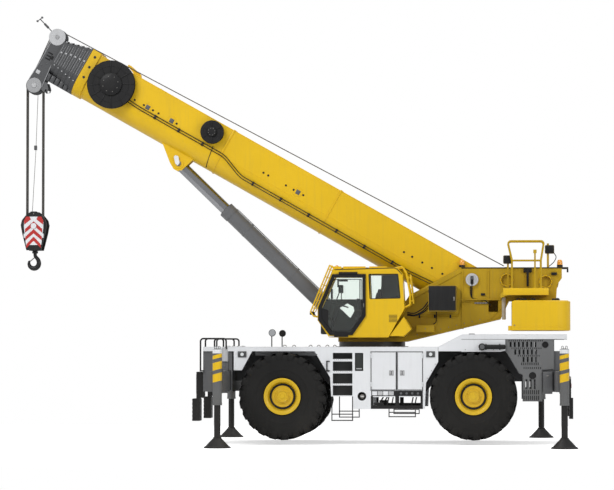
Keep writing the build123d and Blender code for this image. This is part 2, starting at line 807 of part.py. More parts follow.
with BuildPart() as winches:
    for x, z in WINCHES:
        flange = (360, 390)
        half = [
            (flange[0], WINCH_DRUM_R),
            (flange[0], WINCH_FLANGE_R),
            (flange[1], WINCH_FLANGE_R),
            (flange[1], WINCH_HUB_R),
            (PLATE_IN, WINCH_HUB_R),
            (PLATE_IN, 0),
        ]
        points = [(-a, r) for a, r in reversed(half)] + half
        revolved(Plane(origin=(x, 0, z), x_dir=(0, 1, 0), z_dir=(1, 0, 0)), points)
        # the hub turns in a plate inside each side plate
save(winches, "winches")

WALK_X = (2838, 3827)
WALK_Z = (3195, 3344)
with BuildPart() as platform_rail:
    slab(
        SIDE,
        [
            (WALK_X[0] - 40, WALK_Z[0] - 60),
            (WALK_X[0] + 120, WALK_Z[0]),
            (WALK_X[1], WALK_Z[0]),
            (WALK_X[1], WALK_Z[1]),
            (WALK_X[0] + 70, WALK_Z[1]),
            (WALK_X[0] - 40, WALK_Z[0] + 20),
        ],
        (PLATE_OUT + 30 + SEAT, 1260),
    )
    for y in (-1225, -760):
        for x0, x1, wide0, wide1 in ((3051, 3669, 2956, 3738),):
            rail(
                [
                    (x0, y, WALK_Z[1] - 5),
                    (x0, y, 3944),
                    (wide0, y, 4356),
                    (wide1, y, 4356),
                    (x1, y, 3944),
                    (x1, y, WALK_Z[1] - 5),
                ],
                60,
                20,
            )
            bar((x0, y, 3944), (x1, y, 3944), 14)
    bar((3541, -1225, WALK_Z[1] - 5), (3541, -1225, 4140), 18)
    block((3505, 3577), (-1245, -1205), (4095, 4170))
    bar((3830, -470, TOP_Z + SEAT), (3830, -470, 4330), 24)
    block((3770, 3960), (-560, -480), (4110, 4285))
    block((2870, 3040), (-700, -580), (3890, 4060))
    block((2945, 2985), (-660, -620), (WALK_Z[1] - 5, 3890))
    for x, z in ((1971, TOP_Z), (4086, TOP_Z)):
        revolved(
            Plane(origin=(x, -470, z + SEAT), x_dir=(0, 0, 1), z_dir=(0, -1, 0)),
            [(0, 0), (0, 62), (45, 58), (150, 45), (165, 0)],
        )
    bar((2875, -900, 2676), (2875, -900, WALK_Z[0] + 10), 38)
save(platform_rail, "platform_rail")

# ---------------------------------------------------------------- cab
CAB_OUTLINE = [
    (-761, 3754),
    (591, 3791),
    (715, 3645),
    (752, 2906),
    (407, CAB_BOTTOM),
    (-859, CAB_BOTTOM),
    (-1106, 2660),
    (-1106, 2932),
]
DOOR_OUTLINE = [
    (-786, 3645),
    (-73, 3645),
    (-73, 2748),
    (-356, 2341),
    (-846, 2341),
    (-1090, 2660),
    (-1090, 2932),
]
REAR_WINDOW = [(-11, 3645), (617, 3645), (666, 3129), (15, 3116)]
CAB_INSIDE = (CAB_IN + CAB_WALL, CAB_OUT - CAB_WALL)
SCREEN = [(-1140, 2960), (-815, 3690), (-700, 3640), (-1020, 2920)]
CHIN = [(-1140, 2700), (-1140, 2900), (-1020, 2900), (-1020, 2700)]
BACKLIGHT = [(640, 3600), (800, 3600), (800, 3000), (640, 3000)]
ROOFLIGHT = [(-600, 3650), (-600, 3850), (350, 3850), (350, 3650)]


def inset_slab(plane, points, inset, heights, mode=Mode.ADD):
    """Add a plate whose outline lies inside the given points by an inset."""
    low, high = sorted(heights)
    with BuildSketch(plane.offset(low)) as face:
        with BuildLine():
            Polyline(*points, close=True)
        make_face()
        offset(amount=-inset, kind=Kind.INTERSECTION, mode=Mode.REPLACE)
    extrude(face.sketch, amount=high - low, mode=mode)


with BuildPart() as cab_shell:
    slab(SIDE, CAB_OUTLINE, (CAB_IN, CAB_OUT))
    inset_slab(SIDE, CAB_OUTLINE, CAB_WALL, CAB_INSIDE, Mode.SUBTRACT)
    inset_slab(SIDE, DOOR_OUTLINE, 60, (CAB_OUT - CAB_WALL, CAB_OUT), Mode.SUBTRACT)
    slab(SIDE, REAR_WINDOW, (CAB_OUT - CAB_WALL, CAB_OUT), Mode.SUBTRACT)
    slab(SIDE, REAR_WINDOW, (CAB_IN, CAB_IN + CAB_WALL), Mode.SUBTRACT)
    inset_slab(SIDE, DOOR_OUTLINE, 60, (CAB_IN, CAB_IN + CAB_WALL), Mode.SUBTRACT)
    for window in (SCREEN, CHIN, BACKLIGHT, ROOFLIGHT):
        slab(SIDE, window, (CAB_IN + 90, CAB_OUT - 90), Mode.SUBTRACT)
    runner = (-CAB_OUT - DOOR_GAP + SEAT, -CAB_OUT)
    block((-700, 690), runner, (3655, 3680))
    block((-700, 380), runner, (2305, 2330))
    for y in (-CAB_IN - 70, -CAB_OUT + 70):
        front = [(-700, 3742), (-850, 3836), (-1262, 2840), (-1190, 2740), (-1100, 2740)]
        for start, end in zip(front, front[1:]):
            bar((start[0], y, start[1]), (end[0], y, end[1]), 16)
        rear = [(560, 3780), (705, 3800), (790, 3660), (870, 3230), (870, 2990), (740, 2930)]
        for start, end in zip(rear, rear[1:]):
            bar((start[0], y, start[1]), (end[0], y, end[1]), 18)
    for x, z in ((-850, 3836), (-1056, 3338), (-1262, 2840), (790, 3660), (870, 3230)):
        bar((x, -CAB_IN - 70, z), (x, 70 - CAB_OUT, z), 13)
    for edge in (-CAB_OUT + 40, -CAB_IN - 80):
        for x0, x1 in ((-770, -600), (-560, -80), (0, 380)):
            block((x0, x1), (edge, edge + 40), (3740, 3812))
save(cab_shell, "cab_shell")

with BuildPart() as cab_glass:
    middle = CAB_WALL / 2 - GLASS / 2
    inset_slab(SIDE, REAR_WINDOW, SEAT, (CAB_OUT - middle - GLASS, CAB_OUT - middle))
    inset_slab(SIDE, REAR_WINDOW, SEAT, (CAB_IN + middle, CAB_IN + middle + GLASS))
    inset_slab(SIDE, DOOR_OUTLINE, 60 + SEAT, (CAB_IN + middle, CAB_IN + middle + GLASS))
    across = (CAB_IN + 90 + SEAT, CAB_OUT - 90 - SEAT)
    slab(SIDE, [(-1090, 2976), (-790, 3666), (-778, 3661), (-1078, 2971)], across)
    slab(SIDE, [(-1095, 2701), (-1095, 2899), (-1083, 2899), (-1083, 2701)], across)
    slab(SIDE, [(700, 3599), (712, 3599), (735, 3001), (723, 3001)], across)
    slab(SIDE, [(-599, 3735), (-599, 3747), (349, 3768), (349, 3756)], across)
save(cab_glass, "cab_glass")

DOOR_OUT = CAB_OUT + DOOR_GAP
with BuildPart() as cab_door:
    slab(SIDE, DOOR_OUTLINE, (DOOR_OUT, DOOR_OUT + DOOR_THICK))
    inset_slab(SIDE, DOOR_OUTLINE, 70, (DOOR_OUT, DOOR_OUT + DOOR_THICK), Mode.SUBTRACT)
    block((-650, -250), (-DOOR_OUT - DOOR_THICK, -DOOR_OUT), (3600, 3690))
    block((-750, -450), (-DOOR_OUT - DOOR_THICK, -DOOR_OUT), (2300, 2360))
save(cab_door, "cab_door")

with BuildPart() as door_glass:
    inset_slab(SIDE, DOOR_OUTLINE, 70 + SEAT, (DOOR_OUT + 10, DOOR_OUT + 10 + GLASS))
save(door_glass, "door_glass")

with BuildPart() as operator_seat:
    block((-120, 180), (-1180, -860), (2341 + SEAT, 2560))
    block((-330, 220), (-1290, -760), (2560, 2700))
    block((160, 280), (-1270, -780), (2700, 3330))
save(operator_seat, "operator_seat")


# ---------------------------------------------------------------- boom
def section_size(index):
    """Width and height of a boom section; the base is number 1."""
    shrink = BOOM_STEP * (index - 1)
    return BOOM_WIDE - shrink, BOOM_HIGH - shrink


def boom_face(u, size, grow):
    """The boom's section at a station: a flat top and a half-round bottom."""
    wide = size[0] / 2 + grow
    top = BOOM_MIDDLE + size[1] / 2 + grow
    turn = BOOM_MIDDLE - size[1] / 2 + size[0] / 2
    with BuildSketch(boom_station(u)) as face:
        with BuildLine():
            Line((-wide, turn), (-wide, top))
            Line((-wide, top), (wide, top))
            Line((wide, top), (wide, turn))
            ThreePointArc((wide, turn), (0, turn - wide), (-wide, turn))
        make_face()
    return face.sketch


def boom_tube(us, size, grow, mode=Mode.ADD):
    """Add a stretch of the boom's section between two stations."""
    extrude(boom_face(us[0], size, grow), amount=us[1] - us[0], mode=mode)


def section_front(index):
    """Where a section ends when the boom is closed."""
    return BOOM_FRONT + COLLAR_LONG * (index - 1)


def bottom_pad(index, us):
    """Add the wear pad on which the next section slides."""
    size = section_size(index)
    inner = section_size(index + 1)
    low = BOOM_MIDDLE - size[1] / 2 + BOOM_WALL / 2
    high = BOOM_MIDDLE - inner[1] / 2 - SEAT
    with BuildSketch(boom_station(us[0])) as face:
        with Locations((0, (low + high) / 2)):
            Rectangle(60, high - low)
    extrude(face.sketch, amount=us[1] - us[0])


with BuildPart() as boom_foot_pin:
    disc(SIDE, (FOOT_X, FOOT_Z), FOOT_PIN_R, (-PLATE_OUT - 60, PLATE_OUT + 60))
save(boom_foot_pin, "boom_foot_pin")

with BuildPart() as boom_base:
    size = section_size(1)
    boom_tube((BOOM_REAR, BOOM_FRONT), size, 0)
    boom_tube((BOOM_FRONT - BASE_COLLAR, BOOM_FRONT), size, BASE_COLLAR_PROUD)
    boom_tube((BOOM_REAR, BOOM_FRONT - 60), size, -BOOM_WALL, Mode.SUBTRACT)
    boom_tube((BOOM_FRONT - 60, BOOM_FRONT), section_size(2), COLLAR_GAP, Mode.SUBTRACT)
    bottom_pad(1, (BOOM_FRONT - 60, BOOM_FRONT))
    slab(
        BOOM,
        [(BOOM_REAR - 10, 320), (BOOM_REAR - 10, 150), (BOOM_REAR, 150), (-290, 320)],
        (-500, 500),
        Mode.SUBTRACT,
    )
    for side in (1, -1):
        disc(BOOM, (0, 0), 170, (side * (BOOM_WIDE / 2 - BOOM_WALL), side * (PLATE_IN - SEAT)))
        slab(
            BOOM,
            [(6634, -690), (6740, -1020), (6830, -1082), (6910, -1082), (7050, -1000), (7427, -690)],
            (side * LIFT_EAR[0], side * LIFT_EAR[1]),
        )
        disc(BOOM, LIFT_HEAD, LIFT_PIN_R, (side * (LIFT_EAR[0] - 5), side * (LIFT_EAR[1] + 30)))
        disc(BOOM, LIFT_HEAD, 110, (side * LIFT_EAR[1], side * (LIFT_EAR[1] + 15)))
    disc(BOOM, (0, 0), FOOT_PIN_R + PIN_FIT, (-900, 900), Mode.SUBTRACT)
    for u in (3425, 6110):
        boom_tube((u, u + 30), size, 14)
        boom_tube((u - 5, u + 35), size, -BOOM_WALL, Mode.SUBTRACT)
    # the guide that carries the hoist rope over the top of the boom
    slab(
        BOOM,
        [(8540, 305), (8660, 305), (8900, 385), (8900, 425), (8820, 425), (8580, 370)],
        (-60, 60),
    )
save(boom_base, "boom_base")

for index in range(2, SECTIONS + 1):
    size = section_size(index)
    front = section_front(index)
    start = INNER_START + 60 * (index - 2)
    collar = (front - COLLAR_LONG + COLLAR_GAP, front)
    with BuildPart() as section:
        boom_tube((start, front), size, 0)
        boom_tube(collar, size, COLLAR_PROUD)
        if index < SECTIONS:
            boom_tube((start, front - 60), size, -BOOM_WALL, Mode.SUBTRACT)
            boom_tube((front - 60, front), section_size(index + 1), COLLAR_GAP, Mode.SUBTRACT)
            bottom_pad(index, (front - 60, front))
        else:
            boom_tube((start, front - 20), size, -BOOM_WALL, Mode.SUBTRACT)
            for side in (1, -1):
                slab(
                    BOOM,
                    [
                        (front - 5, 140),
                        (10560, 250),
                        (10640, 250),
                        (10700, 120),
                        (NOSE_U + 150, -420),
                        (NOSE_U + NOSE_R, NOSE_V),
                        (NOSE_U - NOSE_R, NOSE_V),
                        (front - 5, -560),
                    ],
                    (side * 190, side * 225),
                )
                disc(BOOM, (NOSE_U, NOSE_V), NOSE_R, (side * 190, side * 225))
                disc(BOOM, (NOSE_U, NOSE_V), 52, (side * 225, side * 245))
            block_us = (front - 5, front + 25)
            slab(
                BOOM,
                [
                    (block_us[0], 100),
                    (block_us[1], 100),
                    (block_us[1], -540),
                    (block_us[0], -540),
                ],
                (-225, 225),
            )
            # rope keepers across the head, and the mast of the wind gauge
            for u, v in ((10668, -60), (10662, -700)):
                bar(boom_point(u, v, -225), boom_point(u, v, 225), 16)
            foot, tip = Vector(-6826, -207, 8800), Vector(-7318, -207, 9318)
            line = tip - foot
            bar(foot, tip, 11)
            bar(foot + line * 0.62, foot + line * 0.8, 26)
            bar(tip + Vector(-60, 0, -45), tip + Vector(45, 0, 35), 9)
            for end in (Vector(-60, 0, -45), Vector(45, 0, 35)):
                bar(tip + end - Vector(0, 24, 0), tip + end + Vector(0, 24, 0), 24)
    save(section, f"boom_section_{index}")

def sheaves(middle, along, ys, end, radius, hub):
    """Add a row of rope sheaves with flat-bottomed grooves on one hub across the machine."""
    points = [(-end, 0), (-end, hub)]
    for y in ys:
        rim, floor = SHEAVE_THICK / 2, FALL_R + 2
        points += [(y - rim, hub), (y - rim, radius), (y - floor, radius - SHEAVE_GROOVE)]
        points += [(y + floor, radius - SHEAVE_GROOVE), (y + rim, radius), (y + rim, hub)]
    points += [(end, hub), (end, 0)]
    revolved(Plane(origin=middle, x_dir=(0, 1, 0), z_dir=along), points)


with BuildPart() as head_sheaves:
    for (u, v), radius, ys in (
        ((NOSE_U, NOSE_V), NOSE_SHEAVE_R, SHEAVE_YS),
        (TOP_SHEAVE, TOP_SHEAVE_R, TOP_SHEAVE_YS),
    ):
        sheaves(boom_point(u, v), ALONG, ys, 190 - SEAT, radius, SHEAVE_HUB_R)
save(head_sheaves, "head_sheaves")

REEL_NEAR = BOOM_WIDE / 2 + SEAT
# along, above and hub radius of each reel, and how many spokes its outer flange has
REELS = [((8981, -145), 523, 251, 12), ((6527, 36), 251, 110, 0)]
with BuildPart() as cable_reels:
    for (u, v), radius, hub, spokes in REELS:
        middle = boom_point(u, v, -REEL_NEAR)
        revolved(
            Plane(origin=middle, x_dir=(0, -1, 0), z_dir=ALONG),
            [
                (0, 0),
                (0, hub * 0.8),
                (30, hub * 0.8),
                (30, radius),
                (60, radius),
                (60, radius * 0.93),
                (170, radius * 0.93),
                (170, radius),
                (200, radius),
                (200, hub),
                (240, hub - 12),
                (240, 0),
            ],
        )
save(cable_reels, "cable_reels")

# ---------------------------------------------------------------- lift cylinder
foot = Vector(LIFT_FOOT[0], 0, LIFT_FOOT[1])
head = boom_point(*LIFT_HEAD)
CYLINDER = Plane(origin=foot, x_dir=(head - foot).normalized(), z_dir=(0, 1, 0))
lift_long = (head - foot).length

with BuildPart() as cylinder_foot_pin:
    disc(SIDE, LIFT_FOOT, LIFT_PIN_R, (-260, 260))
save(cylinder_foot_pin, "cylinder_foot_pin")

with BuildPart() as lift_barrel:
    disc(CYLINDER, (0, 0), 165, (-172, 172))
    revolved(
        CYLINDER,
        [
            (100, 0),
            (100, BARREL_R - 20),
            (180, BARREL_R),
            (BARREL_LONG - 190, BARREL_R),
            (BARREL_LONG - 190, BARREL_R + GLAND_PROUD),
            (BARREL_LONG, BARREL_R + GLAND_PROUD),
            (BARREL_LONG, 0),
        ],
    )
    revolved(
        CYLINDER,
        [
            (118, 0),
            (118, BARREL_BORE_R - 30),
            (170, BARREL_BORE_R),
            (BARREL_LONG - 80, BARREL_BORE_R),
            (BARREL_LONG - 80, ROD_R + SEAT),
            (BARREL_LONG + 5, ROD_R + SEAT),
            (BARREL_LONG + 5, 0),
        ],
        Mode.SUBTRACT,
    )
    disc(CYLINDER, (0, 0), LIFT_PIN_R + PIN_FIT, (-300, 300), Mode.SUBTRACT)
save(lift_barrel, "lift_barrel")

with BuildPart() as lift_piston:
    revolved(
        CYLINDER,
        [
            (ROD_INNER - PISTON_LONG, 0),
            (ROD_INNER - PISTON_LONG, 105),
            (ROD_INNER - SEAT, 105),
            (ROD_INNER - SEAT, 0),
        ],
    )
save(lift_piston, "lift_piston")

with BuildPart() as lift_rod:
    revolved(
        CYLINDER,
        [
            (ROD_INNER, 0),
            (ROD_INNER, 105),
            (ROD_INNER + 30, ROD_R),
            (lift_long - 120, ROD_R),
            (lift_long - 60, 100),
            (lift_long - 60, 0),
        ],
    )
    disc(CYLINDER, (lift_long, 0), 140, (-95, 95))
    disc(CYLINDER, (lift_long, 0), 105, (SEAT + 5 - LIFT_EAR[0], LIFT_EAR[0] - 5 - SEAT))
    disc(CYLINDER, (lift_long, 0), LIFT_PIN_R + 10, (-200, 200), Mode.SUBTRACT)
save(lift_rod, "lift_rod")

# ---------------------------------------------------------------- hook
nose = boom_point(NOSE_U, NOSE_V)
with BuildPart() as hoist_falls:
    for x in (-FALL_X, FALL_X):
        for y in (-120, -40, 40, 120):
            bar((nose.X + x, y, BLOCK_SHEAVE_Z), (nose.X + x, y, FALL_TOP), FALL_R)
save(hoist_falls, "hoist_falls")

BLOCK_OUTLINE = [
    # half width and height of the cheek plates, from the top down
    (60, 5070),
    (177, 4985),
    (262, 4880),
    (288, 4768),
    (255, 4583),
    (162, 4215),
]
with BuildPart() as hook_block:
    outline = [(nose.X + x, z) for x, z in BLOCK_OUTLINE]
    outline += [(nose.X - x, z) for x, z in reversed(BLOCK_OUTLINE)]
    for y in (-BLOCK_PLATE_Y, BLOCK_PLATE_Y):
        slab(SIDE, outline, (y - BLOCK_PLATE / 2, y + BLOCK_PLATE / 2))
    middle = (nose.X, 0, BLOCK_SHEAVE_Z)
    sheaves(middle, (1, 0, 0), SHEAVE_YS, 235, NOSE_SHEAVE_R, SHEAVE_HUB_R)
    block((nose.X - 110, nose.X + 110), (-215, 215), (BLOCK_Z[0] + 60, BLOCK_Z[0] + 190))
    block((nose.X - 60, nose.X + 60), (-215, 215), (4985, 5050))
save(hook_block, "hook_block")

HOOK_MIDDLE = (nose.X - 25, 3945)
HOOK_R = 112
with BuildPart() as hook:
    bar((nose.X, 0, 4075), (nose.X, 0, BLOCK_Z[0] + 60 - SEAT), 48)
    with BuildLine(SIDE) as bend:
        CenterArc(HOOK_MIDDLE, HOOK_R, 78, 290)
    with BuildSketch(Plane(origin=bend.line @ 0, z_dir=bend.line % 0)) as hook_face:
        Circle(44)
    sweep(hook_face.sketch, path=bend.line)
save(hook, "hook")
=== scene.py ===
import json
import math

import bmesh
import bpy
from mathutils import Matrix, Vector


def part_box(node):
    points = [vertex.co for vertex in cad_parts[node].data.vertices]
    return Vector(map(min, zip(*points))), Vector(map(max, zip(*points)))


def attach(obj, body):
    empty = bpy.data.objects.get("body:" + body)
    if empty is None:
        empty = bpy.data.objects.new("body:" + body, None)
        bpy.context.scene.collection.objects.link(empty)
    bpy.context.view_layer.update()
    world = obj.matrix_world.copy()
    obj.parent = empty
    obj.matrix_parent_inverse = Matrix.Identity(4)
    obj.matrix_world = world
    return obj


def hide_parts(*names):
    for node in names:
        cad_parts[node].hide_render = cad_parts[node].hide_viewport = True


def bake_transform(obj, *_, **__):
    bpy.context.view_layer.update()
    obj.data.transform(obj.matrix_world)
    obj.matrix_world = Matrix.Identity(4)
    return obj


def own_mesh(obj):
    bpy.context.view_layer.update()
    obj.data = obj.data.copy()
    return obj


# A rough-terrain crane on its outriggers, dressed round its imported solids. Metres throughout;
# the front points to -X, the operator's side to -Y and up is +Z.
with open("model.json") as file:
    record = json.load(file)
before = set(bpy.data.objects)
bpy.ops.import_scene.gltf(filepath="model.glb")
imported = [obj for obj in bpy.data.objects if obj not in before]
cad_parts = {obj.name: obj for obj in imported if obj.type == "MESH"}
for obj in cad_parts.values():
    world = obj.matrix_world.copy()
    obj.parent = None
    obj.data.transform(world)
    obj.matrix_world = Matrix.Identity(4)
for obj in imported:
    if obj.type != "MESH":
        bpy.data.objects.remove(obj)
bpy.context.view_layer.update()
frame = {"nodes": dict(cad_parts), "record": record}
JOINTS = {joint["name"]: joint for joint in frame["record"]["behaviour"]["joints"]}

# ---------------------------------------------------------------- places read from the frame
SLEW = Vector(JOINTS["slew"]["pos_m"])
FOOT = Vector(JOINTS["boom_raise"]["pos_m"])
NOSE = Vector(JOINTS["hook_swing"]["pos_m"])
ALONG = Vector(JOINTS["telescope_2"]["axis"])
LIFT_FOOT = Vector(JOINTS["cylinder_tilt_high"]["pos_m"])
LIFT_ALONG = Vector(JOINTS["cylinder_stroke_high"]["axis"])
WHEELS = ("front_left", "front_right", "rear_left", "rear_right")
OPERATOR_SIDE = Vector((0, -1, 0))


def side_frame(origin, along):
    """A placing matrix: x runs along, y to the operator's side, z upwards from along."""
    up = along.cross(OPERATOR_SIDE)
    matrix = Matrix((along, OPERATOR_SIDE, up)).transposed().to_4x4()
    matrix.translation = origin
    return matrix


BOOM = side_frame(FOOT, ALONG)
CYLINDER = side_frame(LIFT_FOOT, LIFT_ALONG)
PLAIN = Matrix.Identity(4)


def side_of(name):
    """1 for a piece on the operator's side, -1 for one on the other."""
    return 1 if name.endswith("left") else -1


# ---------------------------------------------------------------- shader node groups
def tone(red, green, blue):
    """A colour given in display values from 0 to 255, as the shader wants it."""
    linear = []
    for value in (red, green, blue):
        share = value / 255
        linear.append(share / 12.92 if share <= 0.04045 else ((share + 0.055) / 1.055) ** 2.4)
    return (*linear, 1.0)


NUMBER_SOCKET = "NodeSocketFloat"
COLOUR_SOCKET = "NodeSocketColor"
STAIN_COLOUR = (0.11, 0.1, 0.085, 1)
DUST_COLOUR = (0.44, 0.39, 0.31, 1)


def new_group(name, inputs, outputs):
    """A shader node group with named sockets, and its input and output nodes."""
    group = bpy.data.node_groups.new(name, "ShaderNodeTree")
    for label, kind, value in inputs:
        socket = group.interface.new_socket(label, in_out="INPUT", socket_type=kind)
        socket.default_value = value
    for label, kind in outputs:
        group.interface.new_socket(label, in_out="OUTPUT", socket_type=kind)
    return group, group.nodes.new("NodeGroupInput"), group.nodes.new("NodeGroupOutput")


class Graph:
    """A shader node tree, with short ways to add the nodes that the finishes use."""

    def __init__(self, tree):
        self.tree = tree

    def feed(self, socket, value):
        """Link a socket to an output, or give it a plain value."""
        if isinstance(value, bpy.types.NodeSocket):
            self.tree.links.new(value, socket)
        else:
            socket.default_value = value

    def add(self, kind, **inputs):
        """A node whose inputs are fed by name, with spaces for the underscores."""
        node = self.tree.nodes.new(f"ShaderNode{kind}")
        for label, value in inputs.items():
            self.feed(node.inputs[label.replace("_", " ")], value)
        return node

    def noise(self, vector, scale, detail=4.0, rough=0.55):
        return self.add("TexNoise", Scale=scale, Detail=detail, Roughness=rough,
                        Vector=vector).outputs["Fac"]

    def remap(self, value, low, high, to_low=0.0, to_high=1.0):
        return self.add("MapRange", From_Min=low, From_Max=high, To_Min=to_low, To_Max=to_high,
                        Value=value).outputs["Result"]

    def math(self, operation, first, second=0.0):
        node = self.add("Math")
        node.operation = operation
        self.feed(node.inputs[0], first)
        self.feed(node.inputs[1], second)
        return node.outputs["Value"]

    def mix(self, factor, first, second):
        node = self.add("Mix")
        node.data_type = "RGBA"
        for slot, value in ((0, factor), (6, first), (7, second)):
            self.feed(node.inputs[slot], value)
        return node.outputs[2]

    def object_place(self):
        return self.add("TexCoord").outputs["Object"]


def make_site_grime():
    """Site dust on level faces and low down, faint streaks and small stains."""
    group, start, end = new_group(
        "Site grime",
        [("Color", COLOUR_SOCKET, (0.5, 0.5, 0.5, 1)), ("Dust", NUMBER_SOCKET, 0.3),
         ("Stain", NUMBER_SOCKET, 0.3), ("Roughness", NUMBER_SOCKET, 0.4)],
        [("Color", COLOUR_SOCKET), ("Roughness", NUMBER_SOCKET)])
    graph = Graph(group)
    coords = graph.object_place()
    height = graph.add("SeparateXYZ", Vector=coords).outputs["Z"]
    normal = graph.add("NewGeometry").outputs["Normal"]
    facing = graph.add("SeparateXYZ", Vector=normal).outputs["Z"]
    level = graph.remap(facing, 0.55, 1.0, 0.0, 0.8)
    low = graph.remap(height, 2.2, 0.1, 0.0, 0.55)
    cloud = graph.remap(graph.noise(coords, 1.7), 0.35, 0.72)
    speck = graph.remap(graph.noise(coords, 38.0, 6.0, 0.7), 0.45, 0.8)
    lying = graph.math("MAXIMUM", level, low)
    lying = graph.math("MULTIPLY", lying, graph.math("ADD", cloud, 0.35))
    lying = graph.math("MULTIPLY", lying, start.outputs["Dust"])
    drawn_out = graph.add("Mapping", Scale=(9.0, 9.0, 0.7), Vector=coords).outputs["Vector"]
    streak = graph.remap(graph.noise(drawn_out, 2.0), 0.5, 0.85)
    stain = graph.math("MULTIPLY", streak, start.outputs["Stain"])
    stain = graph.math("MULTIPLY", stain, graph.math("ADD", speck, 0.5))
    shade = graph.mix(stain, start.outputs["Color"], STAIN_COLOUR)
    dusty = graph.mix(lying, shade, DUST_COLOUR)
    drift = graph.remap(graph.noise(coords, 0.6), 0.3, 0.7, 0.93, 1.05)
    vary = graph.add("HueSaturation", Value=drift, Color=dusty)
    group.links.new(vary.outputs["Color"], end.inputs["Color"])
    rough = graph.math("ADD", start.outputs["Roughness"], lying)
    rough = graph.math("ADD", rough, graph.math("MULTIPLY", stain, 0.5))
    patchy = graph.remap(graph.noise(coords, 6.0), 0.3, 0.7, -0.04, 0.05)
    group.links.new(graph.math("ADD", rough, patchy), end.inputs["Roughness"])
    return group


def make_paint_skin():
    """The fine unevenness of sprayed paint and of the plate under it."""
    group, start, end = new_group(
        "Paint skin", [("Peel", NUMBER_SOCKET, 0.4), ("Waves", NUMBER_SOCKET, 0.6)],
        [("Height", NUMBER_SOCKET)])
    graph = Graph(group)
    coords = graph.object_place()
    peel = graph.math("MULTIPLY", graph.noise(coords, 320.0, 2.0), start.outputs["Peel"])
    waves = graph.math("MULTIPLY", graph.noise(coords, 2.4, 1.0), start.outputs["Waves"])
    group.links.new(graph.math("ADD", peel, waves), end.inputs["Height"])
    return group


def make_chips():
    """Small chips and scuffs, as a mask."""
    group, start, end = new_group(
        "Chips", [("Amount", NUMBER_SOCKET, 0.3), ("Scale", NUMBER_SOCKET, 14.0)],
        [("Mask", NUMBER_SOCKET)])
    graph = Graph(group)
    coords = graph.object_place()
    grain = graph.noise(coords, start.outputs["Scale"], 9.0, 0.72)
    patch = graph.remap(graph.noise(coords, 1.1), 0.5, 0.75)
    reach = graph.math("ADD", graph.math("MULTIPLY", patch, 0.16), 0.1)
    edge = graph.math("SUBTRACT", 0.86, graph.math("MULTIPLY", start.outputs["Amount"], reach))
    group.links.new(graph.math("GREATER_THAN", grain, edge), end.inputs["Mask"])
    return group


def make_bands():
    """Slanting stripes: how far a point lies along a direction, cut into two colours."""
    group, start, end = new_group(
        "Bands",
        [("Direction", "NodeSocketVector", (1, 0, 0)), ("Pitch", NUMBER_SOCKET, 0.1),
         ("Share", NUMBER_SOCKET, 0.5)],
        [("Mask", NUMBER_SOCKET)])
    graph = Graph(group)
    along = graph.add("VectorMath")
    along.operation = "DOT_PRODUCT"
    graph.feed(along.inputs[0], graph.object_place())
    graph.feed(along.inputs[1], start.outputs["Direction"])
    turns = graph.math("DIVIDE", along.outputs["Value"], start.outputs["Pitch"])
    turns = graph.math("FRACT", graph.math("ADD", turns, 100.0))
    group.links.new(graph.math("LESS_THAN", turns, start.outputs["Share"]), end.inputs["Mask"])
    return group


GRIME = make_site_grime()
SKIN = make_paint_skin()
CHIPS = make_chips()
BANDS = make_bands()


# ---------------------------------------------------------------- materials
def principled(name):
    """A new material: its graph and its shader."""
    material = bpy.data.materials.new(name)
    material.use_nodes = True
    return material, Graph(material.node_tree), material.node_tree.nodes["Principled BSDF"]


def paint(
    name, colour, rough=0.4, metallic=0.0, coat=0.0, dust=0.05, stain=0.3, peel=0.3, waves=0.5,
    bump=0.12, chips=0.0, chip_colour=(0.1, 0.09, 0.08, 1), stripes=None, shine=0.5,
):
    """A surface with grime, a paint skin and chips, and perhaps stripes: their colour, direction,
    pitch and share."""
    material, graph, shader = principled(name)

    def place_group(group, **values):
        node = graph.add("Group")
        node.node_tree = group
        for label, value in values.items():
            graph.feed(node.inputs[label], value)
        return node.outputs

    for label, value in (("Metallic", metallic), ("Coat Weight", coat), ("Coat Roughness", 0.12),
                         ("Specular IOR Level", shine)):
        shader.inputs[label].default_value = value
    base = colour
    if stripes:
        stripe_colour, direction, pitch, share = stripes
        bands = place_group(BANDS, Pitch=pitch, Share=share, Direction=direction)
        base = graph.mix(bands["Mask"], colour, stripe_colour)
    if chips:
        base = graph.mix(place_group(CHIPS, Amount=chips)["Mask"], base, chip_colour)
    grime = place_group(GRIME, Dust=dust, Stain=stain, Roughness=rough, Color=base)
    graph.feed(shader.inputs["Base Color"], grime["Color"])
    graph.feed(shader.inputs["Roughness"], grime["Roughness"])
    skin = place_group(SKIN, Peel=peel, Waves=waves)
    raised = graph.add("Bump", Strength=bump, Distance=0.004, Height=skin["Height"])
    graph.feed(shader.inputs["Normal"], raised.outputs["Normal"])
    return material


YELLOW = paint("Yellow paint", tone(219, 178, 16), 0.38, coat=0.12, stain=0.16, chips=0.25,
               shine=0.3)
# the yellow paint made darker: painted shade on the turntable, winches and platform rail, which
# sit back behind the cab and boom
SHADE_PAINTED_YELLOW = paint("Turntable yellow with painted shade", tone(184, 150, 20), 0.44, coat=0.06, chips=0.3,
                      shine=0.25)
WHEEL_YELLOW = paint("Wheel paint", tone(212, 174, 20), 0.44, coat=0.1, dust=0.08, stain=0.2,
                     chips=0.25, shine=0.3)
WHITE = paint("Chassis paint", tone(218, 220, 223), 0.38, coat=0.2, stain=0.12, chips=0.15)
GREY = paint("Outrigger paint", tone(88, 89, 91), 0.48, coat=0.08, stain=0.25, shine=0.3,
             chips=0.45, chip_colour=(0.32, 0.32, 0.32, 1))
LIGHT_GREY = paint("Fitting paint", tone(150, 151, 153), 0.42, coat=0.2, dust=0.1, chips=0.3)
COLLAR_GREY = paint("Collar paint", tone(72, 73, 75), 0.46, coat=0.08, chips=0.25, shine=0.3)
BLACK = paint("Black paint", tone(28, 28, 29), 0.5, coat=0.04, dust=0.04, stain=0.1, chips=0.15,
              shine=0.2, chip_colour=(0.25, 0.25, 0.25, 1))
